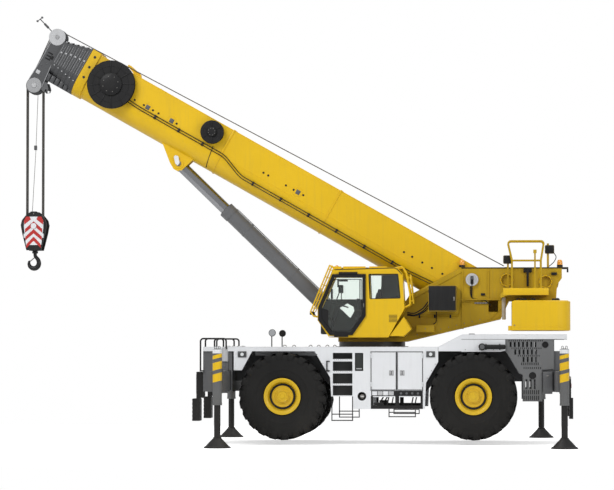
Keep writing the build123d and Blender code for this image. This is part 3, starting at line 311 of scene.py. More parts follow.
BARREL_GREY = paint("Cylinder paint", tone(96, 97, 99), 0.4, shine=0.35, coat=0.3, dust=0.2,
                    chips=0.3)
CHROME = paint("Plated rod", tone(150, 151, 154), 0.2, metallic=1.0, dust=0.1, stain=0.12,
               peel=0.05, waves=0.1, bump=0.03)
STEEL = paint("Worn steel", tone(132, 130, 127), 0.4, metallic=0.85, dust=0.3, stain=0.5)
GREASED = paint("Greased steel", tone(70, 68, 64), 0.3, metallic=0.6, dust=0.2, stain=0.6)
# dark grey for the sheets in the step recesses: painted shade
RECESS_SHADE_GREY = paint("Step recess painted shade", tone(70, 71, 72), 0.55, coat=0.03, dust=0.08, stain=0.2,
                    shine=0.25)
RUBBER = paint("Tyre rubber", tone(31, 31, 31), 0.8, dust=0.03, stain=0.06, shine=0.15, peel=0.7,
               waves=0.3, bump=0.35)
TRIM_RUBBER = paint("Trim rubber", tone(24, 24, 25), 0.66, shine=0.2, stain=0.1, peel=0.6,
                    bump=0.2)
PLASTIC = paint("Moulded plastic", tone(44, 47, 47), 0.55, shine=0.25, stain=0.1, peel=0.8,
                bump=0.3)
CAST = paint("Cast iron", tone(84, 80, 76), 0.6, metallic=0.4, dust=0.4, stain=0.6, peel=1.0,
             bump=0.4)
JACK_GREY = paint("Jack tube paint", tone(92, 93, 94), 0.5, coat=0.05, dust=0.08, chips=0.3,
                  shine=0.3)
HOOK_BLACK = paint("Hook paint", tone(26, 26, 27), 0.45, coat=0.15, stain=0.15, chips=0.35,
                   shine=0.25, chip_colour=(0.18, 0.17, 0.16, 1))
RED = paint("Red enamel", tone(176, 30, 26), 0.36, coat=0.3, dust=0.2, stain=0.15, chips=0.2)
AMBER = paint("Amber lens", tone(222, 150, 44), 0.16, coat=0.5, dust=0.1, stain=0.05, peel=0.1)
LENS = paint("Lamp lens", tone(214, 218, 220), 0.08, coat=0.8, dust=0.1, stain=0.05, peel=0.1)
MIRROR = paint("Mirror glass", tone(210, 213, 216), 0.04, metallic=1.0, stain=0.02, peel=0.0,
               waves=0.0, bump=0.0)
ROPE = paint("Greased wire rope", tone(52, 51, 50), 0.42, metallic=0.6, dust=0.1, stain=0.5,
             peel=0.8, bump=0.5, stripes=(tone(96, 94, 90), (0.0, 90.0, 60.0), 1.0, 0.5))
CLOTH = paint("Cushion cloth", tone(40, 42, 46), 0.85, dust=0.1, stain=0.1, peel=1.0, bump=0.6)
LIGHT_HOSE = paint("Ribbed light hose", tone(178, 179, 181), 0.5, stain=0.15)
DARK_TRIM = paint("Cab trim", tone(50, 55, 53), 0.65, shine=0.2, dust=0.3)
GRILLE_GREY = paint("Grille paint", tone(104, 105, 106), 0.5, coat=0.05, stain=0.25, chips=0.25,
                    shine=0.3)
LAMP_GREY = paint("Lamp housing", tone(70, 71, 73), 0.5, dust=0.1, stain=0.15, peel=0.5)
# near-black for slot openings: painted shade
SLOT_SHADE_BLACK = paint("Slot openings painted shade", tone(20, 20, 21), 0.8, stain=0.0, peel=0.1)
DECK_GRIT = paint("Anti-slip coat", tone(190, 191, 193), 0.85, dust=0.15, peel=1.0, waves=0.2,
                  bump=0.8)
SCREEN_GLASS = paint("Display glass", tone(28, 40, 52), 0.08, coat=0.8, stain=0.02, peel=0.0,
                     waves=0.0, bump=0.0)


GLASS, _, glass_shader = principled("Cab glass")
for socket_name, setting in (("Base Color", tone(244, 250, 246)), ("Roughness", 0.03),
                             ("Transmission Weight", 1.0), ("IOR", 1.45)):
    glass_shader.inputs[socket_name].default_value = setting

FINISHED_NODES = (
    (GREY, "chassis_frame axle_front axle_rear outrigger_boxes head_sheaves"),
    (WHITE, "deck hood body_panels cabinet_door_front cabinet_door_rear"),
    (GRILLE_GREY, "grille_panels"),
    (CAST, "engine"),
    (BLACK, "steps_and_rails exhaust cab_door cable_reels"),
    (GREASED, "slew_ring"),
    # the turntable, winches and rail take the darker yellow: painted shade
    (SHADE_PAINTED_YELLOW, "turntable_frame winches platform_rail"),
    (YELLOW, "cab_shell counterweight boom_base"),
    (GLASS, "cab_glass door_glass"),
    (CLOTH, "operator_seat"),
    (STEEL, "boom_foot_pin cylinder_foot_pin lift_piston hoist_falls"),
    (BARREL_GREY, "lift_barrel"),
    (CHROME, "lift_rod"),
    (HOOK_BLACK, "hook_block hook"),
)
NUMBERED_NODES = (("boom_section", COLLAR_GREY, range(2, 8)), ("knuckle", GREY, WHEELS),
                  ("tyre", RUBBER, WHEELS), ("rim", WHEEL_YELLOW, WHEELS),
                  ("outrigger_beam", GREY, WHEELS), ("jack_leg", BLACK, WHEELS))
NODE_FINISH = {name: finish for finish, names in FINISHED_NODES for name in names.split()}
for stem, node_finish, labels in NUMBERED_NODES:
    NODE_FINISH.update({f"{stem}_{label}": node_finish for label in labels})


def paint_nodes():
    """Give each carried-over solid its finish."""
    for name, node in frame["nodes"].items():
        node.data.materials.clear()
        node.data.materials.append(NODE_FINISH[name])


paint_nodes()


# ---------------------------------------------------------------- building pieces
CRANE = Matrix.Translation((SLEW.x, 0, 0))
HOOK_LINE = Matrix.Translation((NOSE.x, 0, 0))
SCRATCH = bpy.data.meshes.new("scratch")
X, Y, Z = (1, 0, 0), (0, 1, 0), (0, 0, 1)


def about(middle, half):
    """The span that reaches a half width to both sides of its middle."""
    return middle - half, middle + half


def rim_edges(ring):
    """The edges between the vertices of one ring."""
    return list({e for v in ring for e in v.link_edges if all(w in ring for w in e.verts)})


class Piece:
    """A piece of the crane: shapes set out in one placing matrix, which ride on one body."""

    def __init__(self, name, body, place=CRANE):
        self.name, self.body, self.place = name, body, place
        self.bm = bmesh.new()
        self.finishes = []
        self.flip = 1  # -1 builds what follows on the other side, with y the other way

    def both_sides(self, first=1):
        """A loop over the two sides: what is built in it comes out on each of them."""
        for self.flip in (first, -first):
            yield self.flip
        self.flip = 1

    def flipped(self, point):
        x, y, z = point
        return Vector((x, y * self.flip, z))

    def add(self, shape, finish, bevel=0.0, steps=2):
        """Bevel a shape's sharp edges, give it a finish and join it to the piece."""
        if finish not in self.finishes:
            self.finishes.append(finish)
        if bevel:
            sharp = [e for e in shape.edges if e.is_manifold and e.calc_face_angle(0) > 0.5]
            bmesh.ops.bevel(shape, geom=sharp, offset=bevel, segments=steps, profile=0.5,
                            affect="EDGES", clamp_overlap=True, material=-1)
        for face in shape.faces:
            face.material_index = self.finishes.index(finish)
            face.smooth = True
        shape.to_mesh(SCRATCH)
        shape.free()
        self.bm.from_mesh(SCRATCH)

    def box(self, xs, ys, zs, finish, bevel=0.004, turn=PLAIN):
        spans = (xs, [y * self.flip for y in ys], zs)
        place = Matrix.Translation([(low + high) / 2 for low, high in spans]) @ turn
        self.block(place, [abs(high - low) for low, high in spans], finish, bevel)

    def block(self, place, size, finish, bevel):
        """A block of a size, laid by a placing matrix."""
        shape = bmesh.new()
        bmesh.ops.create_cube(shape, size=1.0)
        matrix = place @ Matrix.Diagonal((*size, 1))
        bmesh.ops.transform(shape, matrix=matrix, verts=shape.verts)
        self.add(shape, finish, bevel)

    def plate(self, outline, ys, finish, bevel=0.003, holes=()):
        """A flat plate: an outline of (x, z) points, with round holes (x, z, radius)."""
        shape = bmesh.new()
        ys = [y * self.flip for y in ys]
        corners = [shape.verts.new((x, ys[0], z)) for x, z in outline]
        edges = [shape.edges.new((a, b)) for a, b in zip(corners, corners[1:] + corners[:1])]
        for x, z, radius in holes:
            turn = Matrix.Translation((x, ys[0], z)) @ Matrix.Rotation(math.pi / 2, 4, "X")
            ring = bmesh.ops.create_circle(shape, segments=20, radius=radius, matrix=turn)
            edges += list({e for v in ring["verts"] for e in v.link_edges})
        bmesh.ops.triangle_fill(shape, edges=edges, use_beauty=True)
        thick = bmesh.ops.extrude_face_region(shape, geom=shape.faces[:])
        moved = [v for v in thick["geom"] if isinstance(v, bmesh.types.BMVert)]
        bmesh.ops.translate(shape, vec=(0, ys[1] - ys[0], 0), verts=moved)
        bmesh.ops.dissolve_limit(shape, angle_limit=0.01, verts=shape.verts, edges=shape.edges)
        bmesh.ops.recalc_face_normals(shape, faces=shape.faces)
        self.add(shape, finish, bevel, 1)

    def turned(self, profile, centre, axis, finish, steps=32, bevel=0.0, slant=0.0):
        """A turned body: (along, radius) points spun about an axis through a centre. An upright
        one can be slanted: it then rises by that share of its way along x."""
        shape = bmesh.new()
        line = [shape.verts.new((along, 0, radius)) for along, radius in profile]
        edges = [shape.edges.new(pair) for pair in zip(line, line[1:])]
        bmesh.ops.spin(shape, geom=line + edges, cent=(0, 0, 0), axis=X,
                       angle=math.tau, steps=steps, use_merge=True)
        bmesh.ops.remove_doubles(shape, verts=shape.verts, dist=0.00005)
        turn = self.flipped(axis).to_track_quat("X", "Z").to_matrix().to_4x4()
        lean = Matrix.Identity(4)
        lean[2][0] = slant
        turn = Matrix.Translation(self.flipped(centre)) @ lean @ turn
        bmesh.ops.transform(shape, matrix=turn, verts=shape.verts)
        bmesh.ops.recalc_face_normals(shape, faces=shape.faces)
        self.add(shape, finish, bevel)

    def disc(self, centre, axis, radius, thick, finish, edge=0.003, steps=24, inner=0.0,
             slant=0.0):
        """A round plate, or a flat ring, that starts at its centre and goes along its axis."""
        edge = min(edge, thick / 2)
        profile = [(0, inner), (0, radius - edge), (edge, radius)]
        profile += [(thick - edge, radius), (thick, radius - edge), (thick, inner)]
        if inner:
            profile.append((0, inner))
        self.turned(profile, centre, axis, finish, steps, 0.0, slant)

    def pin(self, centre, radius, half, finish, steps=24):
        """A plain round bar across the machine."""
        self.turned([(-half, 0.0), (-half, radius), (half, radius), (half, 0.0)], centre, Y,
                    finish, steps)

    def hoop(self, centre, axis, radius, wire, finish, steps=32, sides=8):
        """A ring of round wire, which is alike on both sides."""
        turns = [math.tau * k / sides for k in range(sides + 1)]
        profile = [(wire * math.sin(t), radius + wire * math.cos(t)) for t in turns]
        self.turned(profile, centre, self.flipped(axis), finish, steps)

    def bolts(self, centre, axis, circle, number, size, finish, start=0.0):
        """A circle of bolt heads that stand on a face."""
        middle, way = self.flipped(centre), self.flipped(axis).normalized()
        arm = way.orthogonal().normalized() * circle
        for k in range(number):
            turn = Matrix.Rotation(start + math.tau * k / number, 3, way)
            self.disc(self.flipped(middle + turn @ arm), axis, size, size * 0.8, finish,
                      size * 0.15, 6)

    def tube(self, points, radius, finish, bend=0.0, sides=10, closed=True):
        """A tube through points, its corners bent on a radius."""
        path = []
        points = [self.flipped(p) for p in points]
        for k, point in enumerate(points):
            if bend and 0 < k < len(points) - 1:
                into, out = point - points[k - 1], points[k + 1] - point
                reach = min(bend, into.length * 0.48, out.length * 0.48)
                first, last = point - into.normalized() * reach, point + out.normalized() * reach
                path += [first.lerp(point, t).lerp(point.lerp(last, t), t) for t in
                         (0, 0.25, 0.5, 0.75, 1)]
            else:
                path.append(point)
        shape = bmesh.new()
        heading = (path[1] - path[0]).normalized()
        turn = heading.to_track_quat("Z", "Y")
        place = Matrix.Translation(path[0]) @ turn.to_matrix().to_4x4()
        ring = bmesh.ops.create_circle(shape, cap_ends=closed, segments=sides, radius=radius,
                                       matrix=place)["verts"]
        for k in range(1, len(path)):
            ahead = path[min(k + 1, len(path) - 1)] - path[k - 1]
            turn = turn.to_matrix().to_3x3().col[2].rotation_difference(ahead) @ turn
            goal = Matrix.Translation(path[k]) @ turn.to_matrix().to_4x4()
            grown = bmesh.ops.extrude_edge_only(shape, edges=rim_edges(ring))["geom"]
            ring = [v for v in grown if isinstance(v, bmesh.types.BMVert)]
            bmesh.ops.transform(shape, matrix=goal @ place.inverted(), verts=ring)
            place = goal
        if closed:
            bmesh.ops.contextual_create(shape, geom=rim_edges(ring))
        bmesh.ops.recalc_face_normals(shape, faces=shape.faces)
        self.add(shape, finish)

    def wire(self, y, points, *how, **more):
        """A tube through (x, z) points that keeps to one plane across the machine."""
        self.tube([(x, y, z) for x, z in points], *how, **more)

    def slats(self, number, step, xs, ys, zs, finish, bevel=0.0):
        """A row of boxes, each a step in x and z on from the one before."""
        for k in range(number):
            self.box([x + k * step[0] for x in xs], ys, [z + k * step[1] for z in zs], finish,
                     bevel)

    def done(self, *nodes):
        """Put the piece in its place on its body; it stands for the nodes that are named."""
        bmesh.ops.transform(self.bm, matrix=self.place, verts=self.bm.verts)
        mesh = bpy.data.meshes.new(self.name)
        self.bm.to_mesh(mesh)
        self.bm.free()
        mesh.set_sharp_from_angle(angle=math.radians(40))
        for finish in self.finishes:
            mesh.materials.append(finish)
        obj = bpy.data.objects.new(self.name, mesh)
        bpy.context.collection.objects.link(obj)
        if self.body:
            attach(obj, self.body)
        if nodes:
            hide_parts(*nodes)
        return obj


# ---------------------------------------------------------------- wheels
TYRE_R = 0.934
LUGS = 22


def wheel_place(name):
    """A wheel's placing matrix: x outwards along its axle, z up."""
    out = Vector((0, -side_of(name), 0))
    up = Vector(Z)
    place = Matrix((out, up.cross(out), up)).transposed().to_4x4()
    place.translation = JOINTS[f"roll_{name}"]["pos_m"]
    return place


def add_lug(tyre, turn, side):
    """A slanting tread bar from the middle of the tyre over its shoulder."""
    shape = bmesh.new()
    # across, radius and slant of the bar's outer middle line, its half width and its depth
    stations = [
        (0.012, TYRE_R, 0.0, 0.066, 0.05), (0.14, TYRE_R, 0.035, 0.07, 0.05),
        (0.27, TYRE_R - 0.002, 0.062, 0.074, 0.05), (0.335, TYRE_R - 0.014, 0.07, 0.072, 0.055),
        (0.364, 0.882, 0.074, 0.066, 0.05), (0.3735, 0.82, 0.076, 0.06, 0.03),
        (0.3725, 0.775, 0.077, 0.054, 0.012),
    ]
    before = None
    for across, radius, slant, half, deep in stations:
        share = min(1.0, max(0.0, (across - 0.3) / 0.07)) * (0.6 if radius > 0.87 else 1.0)
        inward = Vector((-share, 0, -(1 - share) or -0.01)).normalized() * deep
        ring = []
        for y, sunk in ((-half, 0), (half, 0), (half * 1.12, 1), (-half * 1.12, 1)):
            spin = Matrix.Rotation(turn + slant, 3, "X")
            point = spin @ (Vector((across, y, radius)) + inward * sunk)
            ring.append(shape.verts.new((point.x * side, point.y, point.z)))
        edges = [shape.edges.new((a, b)) for a, b in zip(ring, ring[1:] + ring[:1])]
        if before:
            bmesh.ops.bridge_loops(shape, edges=before + edges)
        else:
            bmesh.ops.contextual_create(shape, geom=edges)
        before = edges
    bmesh.ops.contextual_create(shape, geom=before)
    bmesh.ops.recalc_face_normals(shape, faces=shape.faces)
    tyre.add(shape, RUBBER, 0.006, 1)


def make_wheel(name):
    place = wheel_place(name)
    tyre = Piece(f"tread_and_walls_{name}", f"wheel_{name}", place)
    half = [
        (0.291, 0.332), (0.291, 0.404), (0.312, 0.412), (0.322, 0.43), (0.33, 0.45),
        (0.337, 0.452), (0.342, 0.47), (0.35, 0.5), (0.36, 0.545), (0.365, 0.56),
        (0.371, 0.565), (0.373, 0.58), (0.371, 0.592), (0.3715, 0.63), (0.3735, 0.68),
        (0.3715, 0.73), (0.367, 0.76), (0.368, 0.772), (0.362, 0.8), (0.352, 0.84),
        (0.334, 0.868), (0.3, 0.882), (0.2, 0.887), (0.06, 0.889),
    ]
    loop = half + [(-x, r) for x, r in reversed(half)]
    tyre.turned(loop + loop[:1], (0, 0, 0), X, RUBBER, 88)
    for lug in range(LUGS):
        add_lug(tyre, math.tau * lug / LUGS, 1)
        add_lug(tyre, math.tau * (lug + 0.5) / LUGS, -1)
    tyre.done(f"tyre_{name}")
    hub = Piece(f"hub_details_{name}", f"wheel_{name}", place)
    hub.bolts((0.263, 0, 0), X, 0.092, 8, 0.007, WHEEL_YELLOW, 0.3)
    hub.disc((0.265, 0, 0), X, 0.052, 0.012, WHEEL_YELLOW, 0.004)
    hub.disc((0.196, 0, 0), X, 0.276, 0.012, BLACK, 0.004, 56, 0.228)
    for x, radius, wire, steps in ((0.214, 0.172, 0.006, 48), (0.214, 0.222, 0.01, 56),
                                   (0.262, 0.118, 0.008, 48), (0.316, 0.379, 0.009, 72),
                                   (0.296, 0.336, 0.007, 72)):
        hub.hoop((x, 0, 0), X, radius, wire, WHEEL_YELLOW, steps)
    hub.tube([(0.262, 0.262, 0.13), (0.285, 0.27, 0.136), (0.318, 0.262, 0.136)], 0.006, STEEL,
             0.01, 8)
    for third in range(3):
        turn = 0.6 + third * math.tau / 3
        hub.disc((0.213, 0.15 * math.cos(turn), 0.15 * math.sin(turn)), X, 0.01, 0.014,
                 WHEEL_YELLOW, 0.003, 8)
    hub.done()


for wheel in WHEELS:
    make_wheel(wheel)

# ---------------------------------------------------------------- outriggers
JACK_BANDS = ((1.852, 1.93), (1.619, 1.776), (1.373, 1.541))
JACK_TOP = 2.04
SLEEVE, BORE = 0.0962, 0.0935
BEAM_TOP = 1.58
BEAM_MIDDLE = {
    "front_left": SLEW.x - 3.11, "front_right": SLEW.x - 3.405,
    "rear_left": SLEW.x + 4.07, "rear_right": SLEW.x + 3.71,
}


def make_outrigger(name):
    side = side_of(name)
    low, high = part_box(f"jack_leg_{name}")
    x, y = (low.x + high.x) / 2, (low.y + high.y) / 2
    tube = Piece(f"jack_tube_{name}", f"outrigger_{name}", Matrix.Translation((x, y, 0)))
    tube.disc((0, 0, 0.888), Z, SLEEVE, 0.472, JACK_GREY, 0.001, 40, BORE)
    tube.disc((0, 0, 0.884), Z, SLEEVE + 0.004, 0.046, JACK_GREY, 0.003, 40, BORE)
    for bottom, top in JACK_BANDS:
        tube.disc((0, 0, bottom), Z, SLEEVE + 0.0006, top - bottom, YELLOW, 0.001, 40, BORE,
                  0.26 * side)
    tube.disc((0, 0, 1.955), Z, SLEEVE + 0.002, 0.082, WHITE, 0.002, 40, BORE)
    tube.bolts((0, 0, JACK_TOP), Z, 0.07, 6, 0.01, STEEL)
    tube.disc((0, 0, JACK_TOP), Z, 0.045, 0.018, STEEL, 0.004, 20)
    for start in (-0.055, 0.025):
        tube.wire(0, [(start, 2.03), (start, 2.105), (start + 0.034, 2.105),
                      (start + 0.034, 2.03)], 0.006, GREY, 0.015, 8)
    # hoses from the beam to the jack's head, clipped to the tube
    for shift in (-0.02, 0.02):
        tube.tube([(shift, side * 0.124, 1.588), (shift, side * 0.112, 1.68),
                   (shift, side * 0.106, 1.8), (shift, side * 0.104, 1.99)], 0.008, TRIM_RUBBER,
                  0.06, 8)
    tube.done()
    leg = Piece(f"jack_foot_{name}", f"jack_{name}", Matrix.Translation((x, y, 0)))
    leg.hoop((0, 0, 0.216), Z, 0.078, 0.01, BLACK, 32)
    leg.hoop((0, 0, 0.014), Z, 0.27, 0.008, BLACK, 64)
    for turn in range(8):
        spin = Matrix.Rotation(math.tau * turn / 8, 4, "Z")
        place = spin @ Matrix.Translation((0.165, 0, 0.075)) @ Matrix.Rotation(0.58, 4, "Y")
        leg.block(place, (0.16, 0.012, 0.028), BLACK, 0.002)
    leg.done()
    low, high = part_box(f"outrigger_beam_{name}")
    beam = Piece(f"beam_details_{name}", f"outrigger_{name}", PLAIN)
    near, far = (low.y + 0.02, -1.6) if side == 1 else (1.6, high.y - 0.02)
    middle = BEAM_MIDDLE[name]
    start, end = (near + 0.3, far) if side == 1 else (near, far - 0.3)
    for face in about(middle, 0.13):
        for z in (1.185, 1.555):
            beam.box(about(face, 0.0015), (start, end), about(z, 0.006), GREY, 0)
    beam.box(about(middle, 0.1), (start, end), (BEAM_TOP - 0.0005, BEAM_TOP + 0.0015), GREY, 0)
    for step in range(5):
        y = start + 0.15 + step * 0.4 if side == 1 else end - 0.15 - step * 0.4
        beam.box(about(middle, 0.05), about(y, 0.012), (BEAM_TOP, BEAM_TOP + 0.003), STEEL, 0.001)
    beam.done()


for wheel in WHEELS:
    make_outrigger(wheel)

# ---------------------------------------------------------------- boom
BASE_SIDE = 0.4
COLLAR_START, COLLAR_PITCH = 9.72, 0.112
HEAD_SIDE = 0.225
TOP_SHEAVE = (10.59, 0.185)
NOSE_SHEAVE = (10.514, -0.991)
BETWEEN_SHEAVES = (-0.16, -0.08, 0.0, 0.08, 0.16)
BLOCK_SHEAVE_Z = 4.75


def make_boom_base():
    boom = Piece("boom_details", "boom", BOOM)
    for _ in boom.both_sides():
        y = BASE_SIDE
        # welds along the top plate and where the rounded bottom starts
        for v, thick in ((0.303, 0.007), (-0.325, 0.005)):
            boom.wire(y, [(-0.38, v), (9.5, v)], thick, YELLOW, sides=6)
        for u in (0.63, 0.89, 1.13, 1.385, 1.59, 4.115, 4.357, 4.552, 4.996, 5.117, 7.313, 7.772,
                  7.912, 8.145, 8.376):
            boom.disc((u, y, -0.184), Y, 0.024, 0.006, BLACK, 0.002, 16)
        # square pad adjusters, each with its round rim
        for u in (4.248, 7.439, 8.045):
            boom.hoop((u, y, -0.186), Y, 0.1, 0.006, YELLOW, 32, 6)
            boom.box(about(u, 0.048), (y, y + 0.008), (-0.234, -0.138), GREY, 0.004)
        # band round the boom, the cable clipped down its side and the ear's rib
        boom.box((6.115, 6.155), (y, y + 0.018), (-0.22, 0.305), YELLOW, 0.004)
        boom.tube([(6.367, 0.408, -0.224), (6.35, 0.408, -0.325), (6.335, 0.388, -0.45),
                   (6.315, 0.305, -0.605), (6.3, 0.175, -0.7)], 0.008, BLACK, 0.05, 8)
        boom.plate([(7.02, -0.8), (6.95, -0.785), (6.85, -0.9), (6.86, -0.975), (6.93, -0.96),
                    (7.03, -0.85)], (0.221, 0.229), WHITE, 0.003)
        boom.plate([(-0.3, 0.2), (0.5, 0.2), (0.62, 0.0), (0.3, -0.55), (-0.25, -0.6)],
                   (y, y + 0.01), YELLOW, 0.003)
        boom.disc((0, y, 0), Y, 0.16, 0.02, YELLOW, 0.004, 40)
        # pad adjusters on the front collar
        for v in (0.2, -0.05, -0.3):
            boom.disc((9.605, y + 0.028, v), Y, 0.03, 0.006, BLACK, 0.002, 16)
            boom.bolts((9.605, y + 0.034, v), Y, 0.017, 4, 0.006, STEEL)
    for y in (-0.26, 0.26):
        boom.box((9.52, 9.7), about(y, 0.05), (0.335, 0.352), BLACK)
        boom.bolts((9.61, y, 0.352), Z, 0.035, 4, 0.01, STEEL)
    for u in (1.2, 3.425, 6.11, 8.0):
        boom.tube([(u, -0.395, 0.312), (u, 0.395, 0.312)], 0.005, YELLOW, sides=6)
    # twin hydraulic pipes from the reel back to the foot, with their clamps
    y = BASE_SIDE + 0.022
    for shift in (-0.027, 0.027):
        boom.tube([(8.5, y + 0.03, -0.27 + shift), (8.2, y, -0.29 + shift),
                   (6.05, y, -0.29 + shift), (5.52, y, -0.505 + shift),
                   (1.3, y - 0.012, -0.512 + shift), (0.55, y + 0.02, -0.46 + shift)], 0.0095,
                  TRIM_RUBBER, 0.12, 8)
    for u in (7.8, 7.2, 6.6, 5.2, 4.5, 3.8, 3.1, 2.4, 1.7):
        v = -0.29 if u > 6 else -0.508
        boom.box(about(u, 0.022), (BASE_SIDE - 0.004, y + 0.014), about(v, 0.046), BLACK)
        boom.disc((u, y + 0.014, v), Y, 0.007, 0.006, STEEL, 0.001, 6)
    # the rope guide's roller on its bracket
    boom.pin((8.895, 0, 0.415), 0.018, 0.065, STEEL, 16)
    for _ in boom.both_sides():
        boom.plate([(8.62, 0.3), (8.86, 0.435), (8.93, 0.435), (8.94, 0.4), (8.7, 0.3)],
                   (0.061, 0.071), YELLOW, 0.002)
        # the lift cylinder's pin: retainer plates outside each ear
        boom.disc((6.87, 0.205, -0.925), Y, 0.058, 0.008, STEEL, 0.002, 28)
        boom.box((6.82, 6.92), (0.213, 0.221), (-0.94, -0.91), STEEL)
        boom.bolts((6.87, 0.221, -0.925), Y, 0.036, 2, 0.009, STEEL)
    boom.done()


def make_reels():
    """The two hose reels on the side of the boom."""
    reels = Piece("hose_reels", "boom", BOOM)
    y = BASE_SIDE
    for u, v, radius, hub, spokes in ((8.981, -0.145, 0.523, 0.251, 12),
                                      (6.527, 0.036, 0.251, 0.11, 6)):
        for start in (0.032, 0.172):
            reels.disc((u, y + start, v), Y, radius, 0.008, BLACK, 0.003, 72, hub * 0.7)
            reels.hoop((u, y + start + 0.004, v), Y, radius - 0.006, 0.0085, BLACK, 72)
            reels.hoop((u, y + start + 0.008, v), Y, radius * 0.76, 0.006, BLACK, 60)
        reels.turned([(0.0, hub * 0.8), (0.03, hub * 0.8), (0.03, radius * 0.6),
                      (0.17, radius * 0.6)], (u, y, v), Y, BLACK, 40)
        for layer in range(5):
            reels.hoop((u, y + 0.055 + layer * 0.0255, v), Y, radius * 0.93, 0.0135,
                       TRIM_RUBBER, 72)
        reels.turned([(0.0, hub * 0.8), (0.0, 0.0)], (u, y, v), Y, BLACK, 24)
        reels.turned([(0.18, hub), (0.222, hub * 0.97), (0.236, hub * 0.86), (0.238, hub * 0.3),
                      (0.24, 0.0)], (u, y, v), Y, BLACK, 48)
        reels.bolts((u, y + 0.236, v), Y, hub * 0.68, 8, 0.009, STEEL)
        for k in range(spokes):
            turn = Matrix.Rotation(math.tau * k / spokes, 4, "Y")
            place = Matrix.Translation((u, y + 0.184, v)) @ turn
            place = place @ Matrix.Translation(((radius + hub) / 2, 0, 0))
            reels.block(place, (radius - hub - 0.02, 0.014, 0.02), BLACK, 0.003)
    reels.done("cable_reels")


def make_collars():
    """Pads, bolts and adjusters round the front of each telescope section."""
    for number, dot in zip(range(2, 8), (0.013, 0.003, -0.003, -0.01, -0.04, -0.066)):
        low_u = COLLAR_START + (number - 2) * COLLAR_PITCH
        half = (0.813 - 0.055 * (number - 2)) / 2
        top = 0.31 - 0.0275 * (number - 1) + 0.034
        collar = Piece(f"collar_details_{number}", f"section_{number}", BOOM)
        for _ in collar.both_sides():
            for v, size in ((dot, 0.019), (-0.52 + 0.02 * number, 0.012)):
                collar.disc((low_u + 0.056, half, v), Y, size, 0.006, LIGHT_HOSE, 0.002, 18)
            for edge, finish in ((0.004, BLACK), (0.03, LIGHT_GREY), (0.086, LIGHT_GREY)):
                collar.wire(half, [(low_u + edge, top - 0.06), (low_u + edge, -0.34)],
                            0.0065 if finish is BLACK else 0.004, finish, sides=6)
            # pad adjusters on top and the pads' housing underneath
            collar.box((low_u + 0.012, low_u + 0.06), (0.1, 0.19), (top - 0.002, top + 0.034),
                       BLACK)
            collar.box((low_u + 0.062, low_u + 0.098), (0.11, 0.18), (top - 0.002, top + 0.028),
                       LIGHT_HOSE)
            collar.disc((low_u + 0.036, 0.145, top + 0.034), Z, 0.012, 0.012, STEEL, 0.002, 6)
            collar.box((low_u + 0.01, low_u + 0.102), (0.06, 0.2), (-0.765, -0.6),
                       COLLAR_GREY, 0.012)
        collar.done()


def make_boom_head():
    head = Piece("boom_head_details", "section_7", BOOM)
    nose_u, nose_v = NOSE_SHEAVE
    top_u, top_v = TOP_SHEAVE
    for _ in head.both_sides():
        y = HEAD_SIDE
        head.disc((nose_u, y, nose_v), Y, 0.165, 0.014, LIGHT_GREY, 0.004, 56)
        head.disc((nose_u, y + 0.014, nose_v), Y, 0.052, 0.016, LIGHT_HOSE, 0.003, 32)
        head.bolts((nose_u, y + 0.03, nose_v), Y, 0.03, 3, 0.007, STEEL)
        # light guard discs on the top sheave's ends
        head.disc((top_u, y, top_v), Y, 0.186, 0.008, LIGHT_HOSE, 0.003, 56)
        head.disc((top_u, y + 0.008, top_v), Y, 0.048, 0.014, LIGHT_GREY, 0.003, 28)
        head.bolts((top_u, y + 0.022, top_v), Y, 0.03, 3, 0.007, STEEL)
        # plated-over slots of the head and the small pale cover below them
        for u, v in ((10.545, -0.2), (10.545, -0.27), (10.54, -0.34)):
            head.box(about(u, 0.06), (y, y + 0.006), about(v, 0.016), BLACK, 0.004)
        head.box((10.44, 10.51), (y, y + 0.012), (-0.31, -0.23), BLACK, 0.006)
        head.box((10.54, 10.63), (y, y + 0.006), (-0.73, -0.65), LIGHT_HOSE, 0.004)
        # stiffening edge along the plate and the lifting lug under it
        head.wire(y, [(10.66, 0.1), (10.655, -0.4), (10.68, -0.9)], 0.008, LIGHT_GREY, 0.1, 6)
        head.wire(y, [(10.4, -0.42), (10.345, -0.95)], 0.008, LIGHT_GREY, 0.0, 6)
        for u, v in ((10.5, -0.44), (10.6, -0.52)):
            head.disc((u, y, v), Y, 0.016, 0.008, GREY, 0.002, 18)
        head.plate([(10.4, -0.84), (10.36, -0.99), (10.26, -1.02), (10.19, -0.97), (10.2, -0.9),
                    (10.3, -0.8)], (0.195, 0.215), GREY, 0.004, ((10.235, -0.965, 0.024),))
    # distance tubes between the two side plates
    for u, v in ((10.668, -0.06), (10.662, -0.7)):
        head.pin((u, 0, v), 0.022, 0.19, LIGHT_GREY, 18)
    # hub discs between the sheaves
    for (u, v), ys in ((NOSE_SHEAVE, BETWEEN_SHEAVES), (TOP_SHEAVE, (-0.02, 0.02))):
        for y in ys:
            head.pin((u, y, v), 0.075, 0.013, STEEL)
    head.done()


def make_lift_cylinder():
    barrel = Piece("lift_barrel_details", "cylinder_barrel", CYLINDER)
    for x in (0.42, 1.7, 3.1):
        barrel.disc((x, 0, 0), X, 0.17, 0.05, BARREL_GREY, 0.004, 48, 0.15)
        barrel.box((x + 0.008, x + 0.042), (-0.035, 0.035), (0.16, 0.192), BARREL_GREY)
    barrel.bolts((3.79, 0, 0), X, 0.15, 16, 0.012, STEEL)
    barrel.disc((3.79, 0, 0), X, 0.136, 0.01, BLACK, 0.002, 48, 0.126)
    for shift in (-0.022, 0.022):
        barrel.wire(shift, [(0.3, 0.15), (0.32, 0.181), (0.48, 0.181), (3.6, 0.181), (3.68, 0.15)],
                    0.009, BARREL_GREY, 0.05, 8)
    barrel.box((0.2, 0.42), (-0.07, 0.07), (0.14, 0.196), BLACK, 0.008)
    barrel.done()


make_boom_base()
make_reels()
make_collars()
make_boom_head()
make_lift_cylinder()

